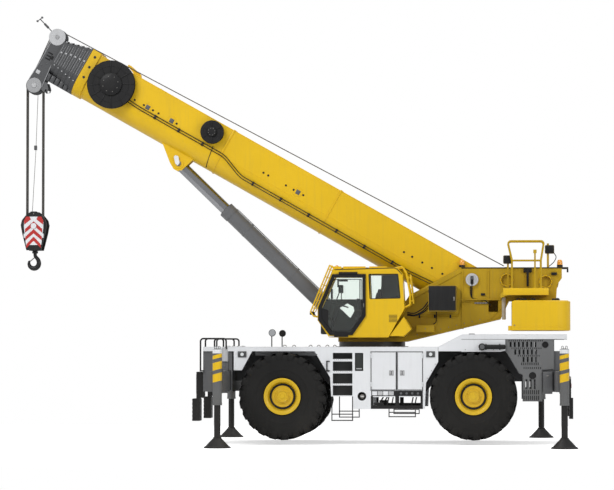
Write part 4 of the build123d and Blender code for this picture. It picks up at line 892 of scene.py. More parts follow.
# ---------------------------------------------------------------- hoist rope and hook block
ROPE_R = 0.0105
ROPE_Y = 0.08


def make_hoist_rope():
    """One taut rope from the drum over the boom to the head, in lengths laid one after another
    along it."""
    (low_u, low_v), (high_u, high_v) = (-0.445, 0.629), (10.6, 0.336)

    def on_line(u):
        return (u, ROPE_Y, low_v + (high_v - low_v) * (u - low_u) / (high_u - low_u))

    chain = ["turntable", "boom_foot", "boom"] + [f"section_{k}" for k in range(2, 8)]
    stops = [low_u, -0.05] + [0.55 + 10.04 * k / 6 for k in range(7)]
    for k, (body, next_body) in enumerate(zip(chain, chain[1:])):
        rope = Piece(f"hoist_rope_{k + 1}", None, BOOM)
        first, last = stops[k], stops[k + 1]
        rope.tube([on_line(first + (last - first) * step / 6) for step in range(7)], ROPE_R, ROPE)
        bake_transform(rope.done(), body, next_body, BOOM @ Vector(on_line(first)),
                 BOOM @ Vector(on_line(last)))
    # round the top sheave and down to the nose
    end = Piece("hoist_rope_end", "section_7", BOOM)
    path = ((10.585, 0.336), (10.66, 0.318), (10.735, 0.24), (10.748, 0.14), (10.7, -0.4),
            (10.68, -0.93))
    end.tube([(u, ROPE_Y, v) for u, v in path], ROPE_R, ROPE, 0.06, 10)
    end.done()


def make_falls():
    """Eight taut rope falls between the nose and the block's sheaves."""
    falls = Piece("rope_falls", "falls", HOOK_LINE)
    top = NOSE.z - 0.01
    long = top - BLOCK_SHEAVE_Z
    for x in (-0.1753, 0.1753):
        for y in (-0.12, -0.04, 0.04, 0.12):
            shape = bmesh.new()
            middle = Matrix.Translation((x, y, (BLOCK_SHEAVE_Z + top) / 2))
            bmesh.ops.create_cone(shape, cap_ends=True, segments=12, radius1=ROPE_R,
                                  radius2=ROPE_R, depth=long, matrix=middle)
            falls.add(shape, ROPE)
    # the wire and weight of the hoist's upper stop
    falls.wire(0.18, [(0.03, NOSE.z - 0.02), (-0.02, 6.42), (-0.1, 4.96)], 0.006, STEEL, sides=6)
    falls.box((-0.055, 0.005), (0.14, 0.22), (6.45, 6.55), GREY, 0.008)
    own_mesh(falls.done("hoist_falls"))


def make_hook_block():
    block = Piece("hook_block_details", "hook_block", HOOK_LINE)
    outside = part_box("hook_block")[1].y
    for _ in block.both_sides():
        y = 0.215
        # white board with three red chevrons on each cheek
        block.plate([(-0.17, 4.955), (0.17, 4.955), (0.215, 4.86), (0.215, 4.72), (0.17, 4.33),
                     (-0.17, 4.33), (-0.215, 4.72), (-0.215, 4.86)], (y, y + 0.004), WHITE, 0)
        for peak, wide in ((4.85, 0.19), (4.68, 0.182), (4.515, 0.158)):
            block.plate([(0, peak), (wide, peak - 0.165), (wide, peak - 0.25), (0, peak - 0.095),
                         (-wide, peak - 0.25), (-wide, peak - 0.165)],
                        (y + 0.004, y + 0.006), RED, 0)
        for way in (1, -1):
            corner = [(0.17, 4.955), (0.09, 4.955), (0.06, 4.895), (0.207, 4.78), (0.215, 4.86)]
            block.plate([(way * x, z) for x, z in corner], (y + 0.004, y + 0.006), RED, 0)
        # tie plates in the cheeks' rims
        for x in (-0.205, 0.205):
            block.box(about(x, 0.016), (y + 0.006, y + 0.012), (4.49, 4.58), WHITE, 0.004)
        block.bolts((0, y, 5.02), Y, 0.0, 1, 0.016, STEEL)
        block.disc((0, outside, BLOCK_SHEAVE_Z), Y, 0.062, 0.002, WHITE, 0.001, 32)
        for x in (-0.13, 0.13):
            block.tube([(x, y - 0.04, 4.262), (x, -(y - 0.04), 4.262)], 0.016, BLACK)
    block.turned([(0, 0.0), (0, 0.085), (0.03, 0.095), (0.055, 0.085), (0.055, 0.0)],
                 (0, 0, 4.205), Z, BLACK, 32)
    for y in BETWEEN_SHEAVES:
        block.pin((0, y, BLOCK_SHEAVE_Z), 0.085, 0.013, STEEL)
    block.done()


def make_hook():
    hook = Piece("crane_hook", "hook", HOOK_LINE)
    # the hook's line from its shank round the bowl to its tip: x, z and half thickness
    line = [(0.0, 4.259, 0.045), (0.0, 4.15, 0.047), (0.008, 4.085, 0.05), (0.052, 4.035, 0.054),
            (0.082, 3.965, 0.06), (0.078, 3.895, 0.066), (0.035, 3.838, 0.069),
            (-0.03, 3.82, 0.066), (-0.092, 3.842, 0.058), (-0.13, 3.895, 0.048),
            (-0.135, 3.95, 0.036), (-0.12, 3.992, 0.02)]
    shape = bmesh.new()
    before = None
    for k, (x, z, thick) in enumerate(line):
        a, b = line[max(k - 1, 0)], line[min(k + 1, len(line) - 1)]
        heading = Vector((b[0] - a[0], 0, b[1] - a[1]))
        turn = heading.to_track_quat("Z", "Y").to_matrix().to_4x4()
        place = Matrix.Translation((x, 0, z)) @ turn @ Matrix.Diagonal((1.0, 0.8, 1.0, 1))
        ring = bmesh.ops.create_circle(shape, segments=14, radius=thick,
                                       matrix=place,
                                       cap_ends=k in (0, len(line) - 1))["verts"]
        edges = rim_edges(ring)
        if before:
            bmesh.ops.bridge_loops(shape, edges=before + edges)
        before = edges
    bmesh.ops.recalc_face_normals(shape, faces=shape.faces)
    bmesh.ops.subdivide_edges(shape, edges=shape.edges, cuts=1, smooth=0.6, use_grid_fill=True)
    hook.add(shape, HOOK_BLACK)
    hook.turned([(0, 0.0), (0, 0.062), (0.035, 0.066), (0.05, 0.055), (0.05, 0.0)], (0, 0, 4.15),
                Z, HOOK_BLACK, 28)
    # spring latch across the throat
    hook.plate([(-0.118, 3.985), (-0.105, 3.995), (0.012, 4.09), (0.022, 4.075), (-0.095, 3.975)],
               (-0.016, 0.016), STEEL, 0.003)
    hook.disc((0.012, -0.024, 4.08), Y, 0.014, 0.048, STEEL, 0.002, 16)
    hook.done("hook")


make_hoist_rope()
make_falls()
make_hook_block()
make_hook()

# ---------------------------------------------------------------- cab
CAB_SIDES = (-1.48, -0.56)
GUARD_SIDES = (-1.41, -0.63)


def make_cab_trim():
    trim = Piece("cab_trim", "turntable")
    near, far = CAB_SIDES
    # rubber round the rear side window and the seams of the pressed panels
    window = [(-0.011, 3.645), (0.617, 3.645), (0.666, 3.129), (0.015, 3.116)]
    for y in (near + 0.005, far + 0.001):
        trim.tube([(x, y, z) for x, z in window + window[:2]], 0.009, TRIM_RUBBER, 0.03, 6)
    trim.wire(near, [(-0.042, 3.7), (-0.042, 2.74), (-0.33, 2.335)], 0.004, YELLOW, 0.05, 6)
    trim.wire(near - 0.001, [(-0.82, 2.325), (0.4, 2.325)], 0.004, YELLOW, sides=6)
    # black gutter round the roof, with its roof window and beacon
    trim.wire(near - 0.004, [(-0.745, 3.742), (0.575, 3.778), (0.7, 3.64)], 0.008, BLACK, 0.06, 6)
    trim.tube([(-0.61, -1.395, 3.762), (0.36, -1.395, 3.788), (0.36, -0.645, 3.788),
               (-0.61, -0.645, 3.762), (-0.61, -1.395, 3.762)], 0.01, TRIM_RUBBER, 0.05, 6)
    trim.disc((-0.7, -1.3, 3.752), Z, 0.045, 0.03, BLACK, 0.004)
    trim.turned([(0, 0.0), (0, 0.036), (0.035, 0.036), (0.055, 0.022), (0.06, 0.0)],
                (-0.7, -1.3, 3.782), Z, AMBER, 24)
    # work lamps under the front guard and on the roof
    for y in (-1.36, -0.68):
        trim.box((-1.275, -1.215), about(y, 0.05), (2.775, 2.85), BLACK, 0.012)
        trim.disc((-1.275, y, 2.812), (-1, 0, 0), 0.034, 0.006, LENS, 0.003)
    # windscreen wiper with its arm and motor
    trim.tube([(-1.075, -1.02, 3.02), (-0.985, -1.02, 3.24), (-0.968, -0.9, 3.3)], 0.007, BLACK,
              0.03, 6)
    trim.wire(-0.9, [(-1.02, 3.16), (-0.9, 3.44)], 0.009, TRIM_RUBBER, sides=6)
    # plate below the door's runner
    trim.box((-0.86, -0.74), (near - 0.006, near), (2.3, 2.322), WHITE, 0.002)
    # vent grille and step edge behind the door
    trim.slats(6, (0, 0.028), (0.42, 0.6), (near - 0.003, near), (2.62, 2.632), BLACK, 0.002)
    # the guard's mounting pads and bolts on the corner posts
    for x, z in ((0.56, 3.735), (0.742, 2.92), (-0.712, 3.71)):
        for y in GUARD_SIDES:
            trim.disc((x, y, z + 0.02), (0.2, 0, 1), 0.034, 0.01, YELLOW)
    trim.done()


def make_cab_rungs():
    """The climbing rungs between the two tubes of each guard."""
    rungs = Piece("cab_guard_rungs", "turntable")
    for y in GUARD_SIDES:
        for low, high, number in (((-1.262, 2.84), (-0.85, 3.836), 6),
                                  ((0.87, 3.01), (0.8, 3.64), 5)):
            away = -0.055 if low[0] < 0 else -0.075
            a, b = Vector((low[0] - away, y, low[1])), Vector((high[0] - away, y, high[1]))
            rungs.tube([a, b], 0.011, YELLOW, sides=8)
            for k in range(number):
                share = (k + 0.5) / number
                point = a.lerp(b, share)
                rungs.tube([point, (point.x + away, y, point.z)], 0.009, YELLOW, sides=8)
    rungs.done()


def cushion(name, centre, size, crown, tilt=0.0, bolster=0.0):
    """A crowned pad with pulled-in sides and sewn channels, in seat cloth."""
    shape = bmesh.new()
    bmesh.ops.create_cube(shape, size=1.0)
    bmesh.ops.subdivide_edges(shape, edges=shape.edges, cuts=9, use_grid_fill=True)
    for vert in shape.verts:
        x, y, z = vert.co
        round_off = (1 - (2 * abs(x)) ** 4 * 0.16) * (1 - (2 * abs(y)) ** 4 * 0.16)
        crowned = 1 + crown * (1 - 4 * x * x) * (1 - 4 * y * y) * (z > 0)
        crowned -= 0.1 * (z > 0) * sum(math.exp(-((x - seam) / 0.035) ** 2)
                                       for seam in (-0.2, 0.2))
        crowned += bolster * max(0.0, abs(2 * y) - 0.55) * (z > 0)
        vert.co = Vector((x * (1 - 0.06 * (2 * abs(z)) ** 3), y * (1 - 0.05 * (2 * abs(z)) ** 3),
                          z * round_off * crowned))
    place = Matrix.Translation(centre) @ Matrix.Rotation(tilt, 4,
                                                         "Y") @ Matrix.Diagonal((*size, 1))
    bmesh.ops.transform(shape, matrix=place, verts=shape.verts)
    bmesh.ops.smooth_vert(shape, verts=shape.verts, factor=0.5, use_axis_x=True, use_axis_y=True,
                          use_axis_z=True)
    pad = Piece(name, "turntable")
    pad.add(shape, CLOTH)
    piece = pad.done()
    smooth = piece.modifiers.new("Rounding", "SUBSURF")
    smooth.levels = smooth.render_levels = 1
    return piece


def make_seat():
    """The operator's seat: padded cushions on a sprung base with armrest consoles."""
    low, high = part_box("operator_seat")
    x, y, wide = (low.x + high.x) / 2 - SLEW.x, (low.y + high.y) / 2, high.y - low.y
    base = Piece("seat_base", "turntable")
    floor = low.z
    base.box((x - 0.2, x + 0.18), about(y, 0.17), (floor, floor + 0.04), BLACK, 0.008)
    base.slats(5, (0, 0.036), (x - 0.165, x + 0.145), about(y, 0.14),
               (floor + 0.045, floor + 0.075), TRIM_RUBBER, 0.012)
    base.box((x - 0.24, x + 0.2), about(y, 0.2), (floor + 0.23, floor + 0.275), BLACK, 0.01)
    for side in (1, -1):
        arm = y + side * (wide / 2 - 0.045)
        base.box((x - 0.27, x + 0.12), about(arm, 0.04), (floor + 0.5, floor + 0.56), PLASTIC,
                 0.016)
        base.box((x + 0.02, x + 0.1), about(arm, 0.022), (floor + 0.27, floor + 0.52), PLASTIC,
                 0.008)
        base.turned([(0, 0.0), (0, 0.03), (0.03, 0.022), (0.09, 0.011), (0.13, 0.017),
                     (0.2, 0.026), (0.225, 0.018), (0.23, 0.0)], (x - 0.21, arm, floor + 0.56),
                    (-0.1, 0, 1), PLASTIC, 20)
        base.box((x - 0.13, x + 0.06), about(arm, 0.028), (floor + 0.56, floor + 0.568),
                 LIGHT_GREY, 0.003)
    base.done("operator_seat")
    cushion("seat_cushion", (x - 0.05, y, floor + 0.335), (0.47, wide - 0.19, 0.13), 0.16, 0.05,
            0.5)
    cushion("seat_back", (x + 0.185, y, floor + 0.64), (0.56, wide - 0.2, 0.13), 0.14, -1.42, 0.5)
    cushion("head_rest", (x + 0.235, y, high.z - 0.075), (0.15, 0.24, 0.09), 0.12, -1.48, 0.0)


def make_cab_inside():
    inside = Piece("cab_inside", "turntable")
    # lining of floor, roof, far wall and corners
    inside.box((-0.8, 0.42), GUARD_SIDES, (2.342, 2.352), TRIM_RUBBER, 0)
    inside.plate([(-0.7, 3.712), (0.55, 3.742), (0.55, 3.73), (-0.7, 3.7)], GUARD_SIDES, PLASTIC,
                 0)
    for ys in ((-0.625, -0.612), (-1.428, -1.415)):
        inside.plate([(-0.3, 2.35), (0.36, 2.35), (0.68, 2.95), (0.66, 3.09), (-0.02, 3.09),
                      (-0.02, 2.76)], ys, PLASTIC, 0)
    inside.plate([(0.7, 2.94), (0.69, 2.99), (0.37, 2.35), (0.42, 2.35)], GUARD_SIDES, PLASTIC, 0)
    inside.plate([(-0.06, 2.76), (-0.02, 2.76), (-0.02, 3.7), (-0.06, 3.7)], (-0.625, -0.612),
                 PLASTIC, 0)
    # dark lower trim of the far side, its post and the rear wall's lining
    for outline in (
        [(-1.02, 3.12), (-0.06, 3.12), (-0.06, 2.96), (-0.38, 2.96), (-0.51, 3.03), (-0.686, 2.93),
         (-1.08, 2.8)],
        [(-1.08, 2.8), (-0.686, 2.93), (-0.5, 2.75), (-0.44, 2.72), (-0.3, 2.35), (-0.86, 2.35),
         (-1.08, 2.62)],
        [(-0.06, 2.96), (-0.38, 2.96), (-0.36, 2.87), (-0.44, 2.72), (-0.3, 2.35), (-0.06, 2.35)],
        [(0.23, 3.64), (0.625, 3.66), (0.66, 3.05), (0.02, 3.05), (0.02, 3.11), (0.12, 3.14),
         (0.195, 3.22), (0.225, 3.4)],
    ):
        inside.plate(outline, (-0.628, -0.612), DARK_TRIM, 0)
    inside.wire(-0.62, [(-0.238, 3.12), (-0.238, 3.54)], 0.012, DARK_TRIM, sides=8)
    inside.box((-0.69, -0.5), (-0.66, -0.6), (3.505, 3.545), DARK_TRIM, 0.01)
    inside.box((-0.675, -0.577), (-1.2, -0.98), (3.246, 3.42), DARK_TRIM, 0.012)
    inside.wire(-1.1, [(-0.66, 3.26), (-0.72, 3.1), (-0.8, 2.8)], 0.012, DARK_TRIM, 0.03, 8)
    # front console with its dials, screen and steering column
    inside.plate([(-1.05, 2.36), (-0.86, 2.36), (-0.8, 2.62), (-0.92, 2.8), (-1.05, 2.82)],
                 (-1.3, -0.74), PLASTIC, 0.02)
    inside.wire(-1.02, [(-0.82, 2.52), (-0.66, 2.99)], 0.032, PLASTIC, sides=14)
    inside.hoop((-0.655, -1.02, 3.0), (0.32, 0, 0.95), 0.185, 0.014, PLASTIC, 40)
    tilt = Matrix.Rotation(math.radians(-71), 3, "Y")
    for turn in (0.5, 2.6, 4.7):
        spoke = tilt @ Vector((0, 0.17 * math.cos(turn), 0.17 * math.sin(turn)))
        inside.tube([(-0.66, -1.02, 2.985), Vector((-0.655, -1.02, 3.0)) + spoke], 0.011,
                    PLASTIC, sides=8)
    inside.box((-0.83, -0.79), (-1.36, -1.12), (3.12, 3.33), BLACK, 0.01)
    inside.box((-0.788, -0.784), (-1.345, -1.135), (3.135, 3.315), SCREEN_GLASS, 0)
    inside.tube([(-0.88, -1.3, 2.78), (-0.81, -1.26, 3.14)], 0.014, BLACK, sides=8)
    inside.box((-0.72, -0.69), (-0.82, -0.68), (3.38, 3.56), BLACK, 0.01)
    # pedals
    for y in (-1.12, -0.95):
        inside.box((-0.93, -0.78), about(y, 0.045), (2.4, 2.415), BLACK, 0.004,
                   Matrix.Rotation(0.5, 4, "Y"))
    # side console with switches behind the seat, sun blind and handle
    inside.box((-0.05, 0.4), (-0.8, -0.66), (2.36, 2.86), PLASTIC, 0.02)
    inside.slats(5, (0.07, 0), (0, 0.04), (-0.76, -0.72), (2.86, 2.87), LIGHT_GREY, 0.003)
    inside.box((-0.66, -0.6), (-1.36, -0.68), (3.64, 3.7), CLOTH, 0.02)
    inside.tube([(-0.6, -1.4, 3.3), (-0.6, -1.37, 3.3), (-0.6, -1.37, 3.0), (-0.6, -1.4, 3.0)],
                0.01, BLACK, 0.03, 8)
    inside.done()


def make_cab_door():
    door = Piece("cab_door_trim", "cab_door")
    outline = [(-0.786, 3.645), (-0.073, 3.645), (-0.073, 2.748), (-0.356, 2.341), (-0.846, 2.341),
               (-1.09, 2.66), (-1.09, 2.932)]
    middle = sum((Vector((x, 0, z)) for x, z in outline), Vector()) / len(outline)
    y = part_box("cab_door")[0].y
    for share, thick in ((0.985, 0.006), (0.845, 0.007)):
        ring = [middle.lerp(Vector((px, 0, pz)), share) for px, pz in outline]
        door.tube([(p.x, y - 0.001, p.z) for p in ring + ring[:2]], thick, TRIM_RUBBER, 0.04, 6)
    # broad dark border printed along the front and the foot of the door's glass
    door.plate([(-1.062, 2.93), (-0.868, 2.875), (-0.88, 2.57), (-0.8, 2.44), (-0.8, 2.365),
                (-0.85, 2.365), (-1.062, 2.652)], (y + 0.002, y + 0.006), BLACK, 0)
    door.box((-0.135, -0.095), (y - 0.022, y), (2.92, 3.06), BLACK, 0.008)
    door.box((-0.125, -0.105), (y - 0.03, y - 0.018), (2.94, 3.02), STEEL, 0.004)
    for x in (-0.7, -0.18):
        door.box(about(x, 0.05), (y - 0.01, y), (3.605, 3.64), BLACK, 0.004)
    door.done()


make_cab_trim()
make_cab_rungs()
make_seat()
make_cab_inside()
make_cab_door()

# ---------------------------------------------------------------- turntable and counterweight
PLATE_Y = 0.5
WINCHES = ((2.941, 3.537), (3.777, 3.498))
PIN_X, PIN_Z = 2.188, 3.544


def make_turntable():
    table = Piece("turntable_details", "turntable")
    for _ in table.both_sides(-1):
        y = PLATE_Y
        # bent edge along the slope, top edge strip, seams and window rims
        table.plate([(0.8, 3.16), (0.86, 3.1), (1.985, 3.715), (1.955, 3.806)], (y, y + 0.016),
                    SHADE_PAINTED_YELLOW, 0.004)
        table.box((1.955, 4.128), (y, y + 0.012), (3.788, 3.812), BLACK, 0.003)
        table.wire(y + 0.004, [(2.6, 2.7), (2.99, 3.09)], 0.006, SHADE_PAINTED_YELLOW, sides=6)
        table.wire(y + 0.003, [(-0.6, 2.24), (0.75, 2.24), (2.78, 2.73)], 0.006, SHADE_PAINTED_YELLOW,
                   0.05, 6)
        for x, z in WINCHES:
            table.hoop((x, y + 0.022, z), Y, 0.135, 0.01, YELLOW, 8, 6)
            table.bolts((x, y + 0.022, z), Y, 0.142, 8, 0.009, STEEL, 0.4)
        # the boom's foot pin: white ring, dark cap and its keeper
        table.disc((PIN_X, y + 0.06, PIN_Z), Y, 0.138, 0.006, LIGHT_HOSE, 0.002, 40)
        table.hoop((PIN_X, y + 0.066, PIN_Z), Y, 0.118, 0.005, WHITE, 40, 6)
        table.box((2.156, 2.22), (y + 0.066, y + 0.08), (3.455, 3.62), BLACK, 0.022)
        table.disc((PIN_X, y + 0.08, 3.575), Y, 0.03, 0.01, GREY, 0.003, 24)
        table.tube([(PIN_X, y + 0.075, 3.46), (2.184, y + 0.03, 3.36), (2.18, y + 0.03, 3.16)],
                   0.014, BLACK, 0.05, 8)
        # grease line with its block, and bolts along the lower flange
        table.tube([(2.155, y + 0.05, 3.44), (2.15, y + 0.02, 3.25), (2.18, y + 0.02, 3.14),
                    (2.48, y + 0.02, 3.1), (2.6, y + 0.02, 2.98)], 0.009, TRIM_RUBBER, 0.06, 8)
        table.box((2.38, 2.47), (y, y + 0.04), (3.2, 3.25), BLACK, 0.006)
        table.box((2.24, 2.52), (y + 0.004, y + 0.035), (3.02, 3.055), STEEL, 0.006)
        for x in (2.28, 2.34, 2.4, 2.46):
            table.disc((x, y + 0.035, 3.037), Y, 0.01, 0.014, BLACK, 0.002, 10)
        for k in range(9):
            x = 1.0 + k * 0.17
            table.disc((x, y, 2.245 + (x - 0.76) * 0.24 + 0.05), Y, 0.011, 0.009, STEEL, 0.002, 6)
    # panel that closes the corner between the cab and the turntable
    table.plate([(0.432, 2.318), (0.735, 2.318), (0.9, 2.458), (0.742, 2.735)], (-1.455, -1.435),
                YELLOW, 0.006)
    table.wire(-1.457, [(0.735, 2.33), (0.89, 2.462), (0.745, 2.715)], 0.006, YELLOW, 0.02, 6)
    table.box((0.7, 0.76), (-1.44, -0.9), (2.36, 2.42), SHADE_PAINTED_YELLOW, 0.006)
    y = -0.54
    # black control box with its lid, hinges and hoses to the cab
    low_x, high_x, low_z, high_z = 1.256, 1.86, 2.852, 3.404
    table.box((low_x - 0.004, high_x + 0.004), (-1.254, -0.536), (low_z - 0.004, high_z + 0.004),
              BLACK, 0.022)
    table.box((low_x + 0.02, high_x - 0.02), (-1.264, -1.25), (low_z + 0.02, high_z - 0.02), BLACK,
              0.008)
    for z in (2.98, 3.28):
        table.box((low_x + 0.005, low_x + 0.045), (-1.272, -1.25), about(z, 0.03), BLACK, 0.004)
    table.box((high_x - 0.065, high_x - 0.035), (-1.274, -1.262), (3.08, 3.16), STEEL, 0.004)
    for k, (z, sag) in enumerate(((3.1, 0.3), (3.02, 0.26), (2.95, 0.2))):
        table.tube([(low_x + 0.02, -1.1 + k * 0.05, z),
                    (low_x - 0.1, -1.1 + k * 0.05, z - sag * 0.6), (low_x - 0.3, -1.05, z - sag),
                    (0.8, -0.98, 2.83 - k * 0.03)], 0.013, TRIM_RUBBER, 0.09, 8)
    # pipes along the plate under the box
    for z in (2.735, 2.765):
        table.wire(y - 0.005, [(0.93, z), (1.9, z), (1.95, z + 0.1), (1.95, 3.06), (2.44, 3.075)],
                   0.009, SHADE_PAINTED_YELLOW, 0.05, 8)
    for x in (1.05, 1.38, 1.72):
        table.box(about(x, 0.018), (y - 0.016, -0.5), (2.715, 2.785), BLACK, 0.003)
    table.wire(y - 0.03, [(1.42, 2.86), (1.41, 2.62), (1.35, 2.58)], 0.01, TRIM_RUBBER, 0.04, 8)
    table.box((0.988, 1.37), (-0.728, -0.716), (2.412, 2.553), SHADE_PAINTED_YELLOW, 0.004)
    table.bolts((1.179, -0.728, 2.482), (0, -1, 0), 0.0, 1, 0.012, STEEL)
    # ribbed light hose hanging from the walkway
    for k in range(17):
        table.hoop((2.875, -0.9, 2.7 + k * 0.0272), Z, 0.036, 0.0105, LIGHT_HOSE, 20, 8)
    # junction boxes and struts inside the tail
    table.box((3.365, 3.415), (y - 0.03, -0.5), (3.4, 3.785), BLACK, 0.008)
    table.box((3.3, 3.48), (y - 0.02, -0.5), (3.7, 3.785), BLACK, 0.008)
    table.box((3.9, 4.02), (y - 0.02, -0.5), (3.64, 3.7), BLACK, 0.006)
    table.box((4.13, 4.27), (-0.502, -0.438), (3.77, 3.815), BLACK, 0.006)
    table.box((4.235, 4.272), (-0.502, -0.438), (3.7, 3.775), BLACK, 0.006)
    table.done()


def make_drum_ropes():
    """Rope laid in turns on the two winch drums."""
    ropes = Piece("drum_ropes", "turntable")
    for x, z in WINCHES:
        for turn in range(30):
            ropes.hoop((x, -0.337 + turn * 0.0232, z), Y, 0.208 + 0.012 * (turn % 2), 0.0112, ROPE,
                       40, 6)
        for y in (-0.362, 0.362):
            ropes.hoop((x, y, z), Y, 0.279, 0.007, SHADE_PAINTED_YELLOW, 48, 6)
            ropes.disc((x, y * 1.02, z), (0, y, 0), 0.262, 0.006, GREY, 0.002, 48)
            ropes.disc((x, y * 1.038, z), (0, y, 0), 0.07, 0.012, BLACK, 0.003, 24)
            ropes.bolts((x, y * 1.038, z), (0, y, 0), 0.105, 6, 0.01, STEEL)
    ropes.done()


def make_platform():
    rail = Piece("platform_details", "turntable")
    # black lamps on the rails, each with a lens and its lead
    for xs, ys, zs in (((2.864, 3.046), (-0.706, -0.574), (3.884, 4.066)),
                       ((3.764, 3.966), (-0.566, -0.474), (4.104, 4.291))):
        rail.box(xs, ys, zs, BLACK, 0.022)
        rail.disc((xs[0] + 0.006, sum(ys) / 2, sum(zs) / 2), (-1, 0, 0),
                  min(0.05, (ys[1] - ys[0]) * 0.42), 0.01, LENS, 0.003)
    rail.tube([(3.95, -0.5, 4.13), (4.02, -0.49, 4.04), (3.96, -0.48, 3.92), (3.85, -0.47, 3.83)],
              0.009, TRIM_RUBBER, 0.06, 8)
    for x in (1.971, 4.086):
        rail.disc((x, -0.47, 3.8125), Z, 0.064, 0.052, BLACK, 0.006, 28)
        rail.turned([(0, 0.0), (0, 0.06), (0.05, 0.059), (0.094, 0.05), (0.11, 0.03),
                     (0.1135, 0.0)], (x, -0.47, 3.8645), Z, AMBER, 32)
    # anti-slip walkway, its edge and the feet of the rails
    rail.slats(14, (0.065, 0), (2.92, 2.932), (-1.24, -0.56), (3.343, 3.348), LIGHT_GREY)
    rail.box((2.86, 3.83), (-1.266, -1.258), (3.2, 3.345), YELLOW, 0.003)
    for x in (3.051, 3.669, 3.541):
        for y in (-1.225, -0.76):
            rail.disc((x, y, 3.344), Z, 0.04, 0.01, YELLOW, 0.003, 20)
    rail.plate([(3.508, 4.16), (3.574, 4.16), (3.574, 4.128), (3.555, 4.08), (3.527, 4.08),
                (3.508, 4.128)], (-1.24, -1.212), SHADE_PAINTED_YELLOW, 0.006)
    rail.done()


def make_counterweight():
    weight = Piece("counterweight_details", "turntable")
    near = -1.4
    for y in (near, -near):
        weight.wire(y, [(3.05, 2.52), (4.1, 2.52)], 0.004, YELLOW, sides=6)
    # rubber stops and lifting eyes on top
    for x, wide in ((3.3, 0.06), (3.5, 0.05), (3.98, 0.08)):
        for y in (-1.18, 1.18):
            weight.box(about(x, wide), about(y, 0.06), (3.08, 3.125), BLACK, 0.01)
    for x in (3.2, 4.02):
        for y in (-1.02, 1.02):
            weight.hoop((x, y, 3.085), Y, 0.045, 0.012, STEEL, 24)
    weight.bolts((3.1, near - 0.001, 2.55), (0, -1, 0), 0.0, 1, 0.016, STEEL)
    for z in (2.6, 2.95):
        weight.box((3.046 - 0.006, 3.046), (-1.3, -1.0), about(z, 0.01), BLACK, 0)
    weight.done()


make_turntable()
make_drum_ropes()
make_platform()
make_counterweight()

# ---------------------------------------------------------------- chassis
SIDE_Y = 1.5
STEP_XS = (-0.7775, -0.3585)
CABINETS = {"front": (0.043, 0.574), "rear": (0.606, 1.137)}
DECK_TOP = 2.088


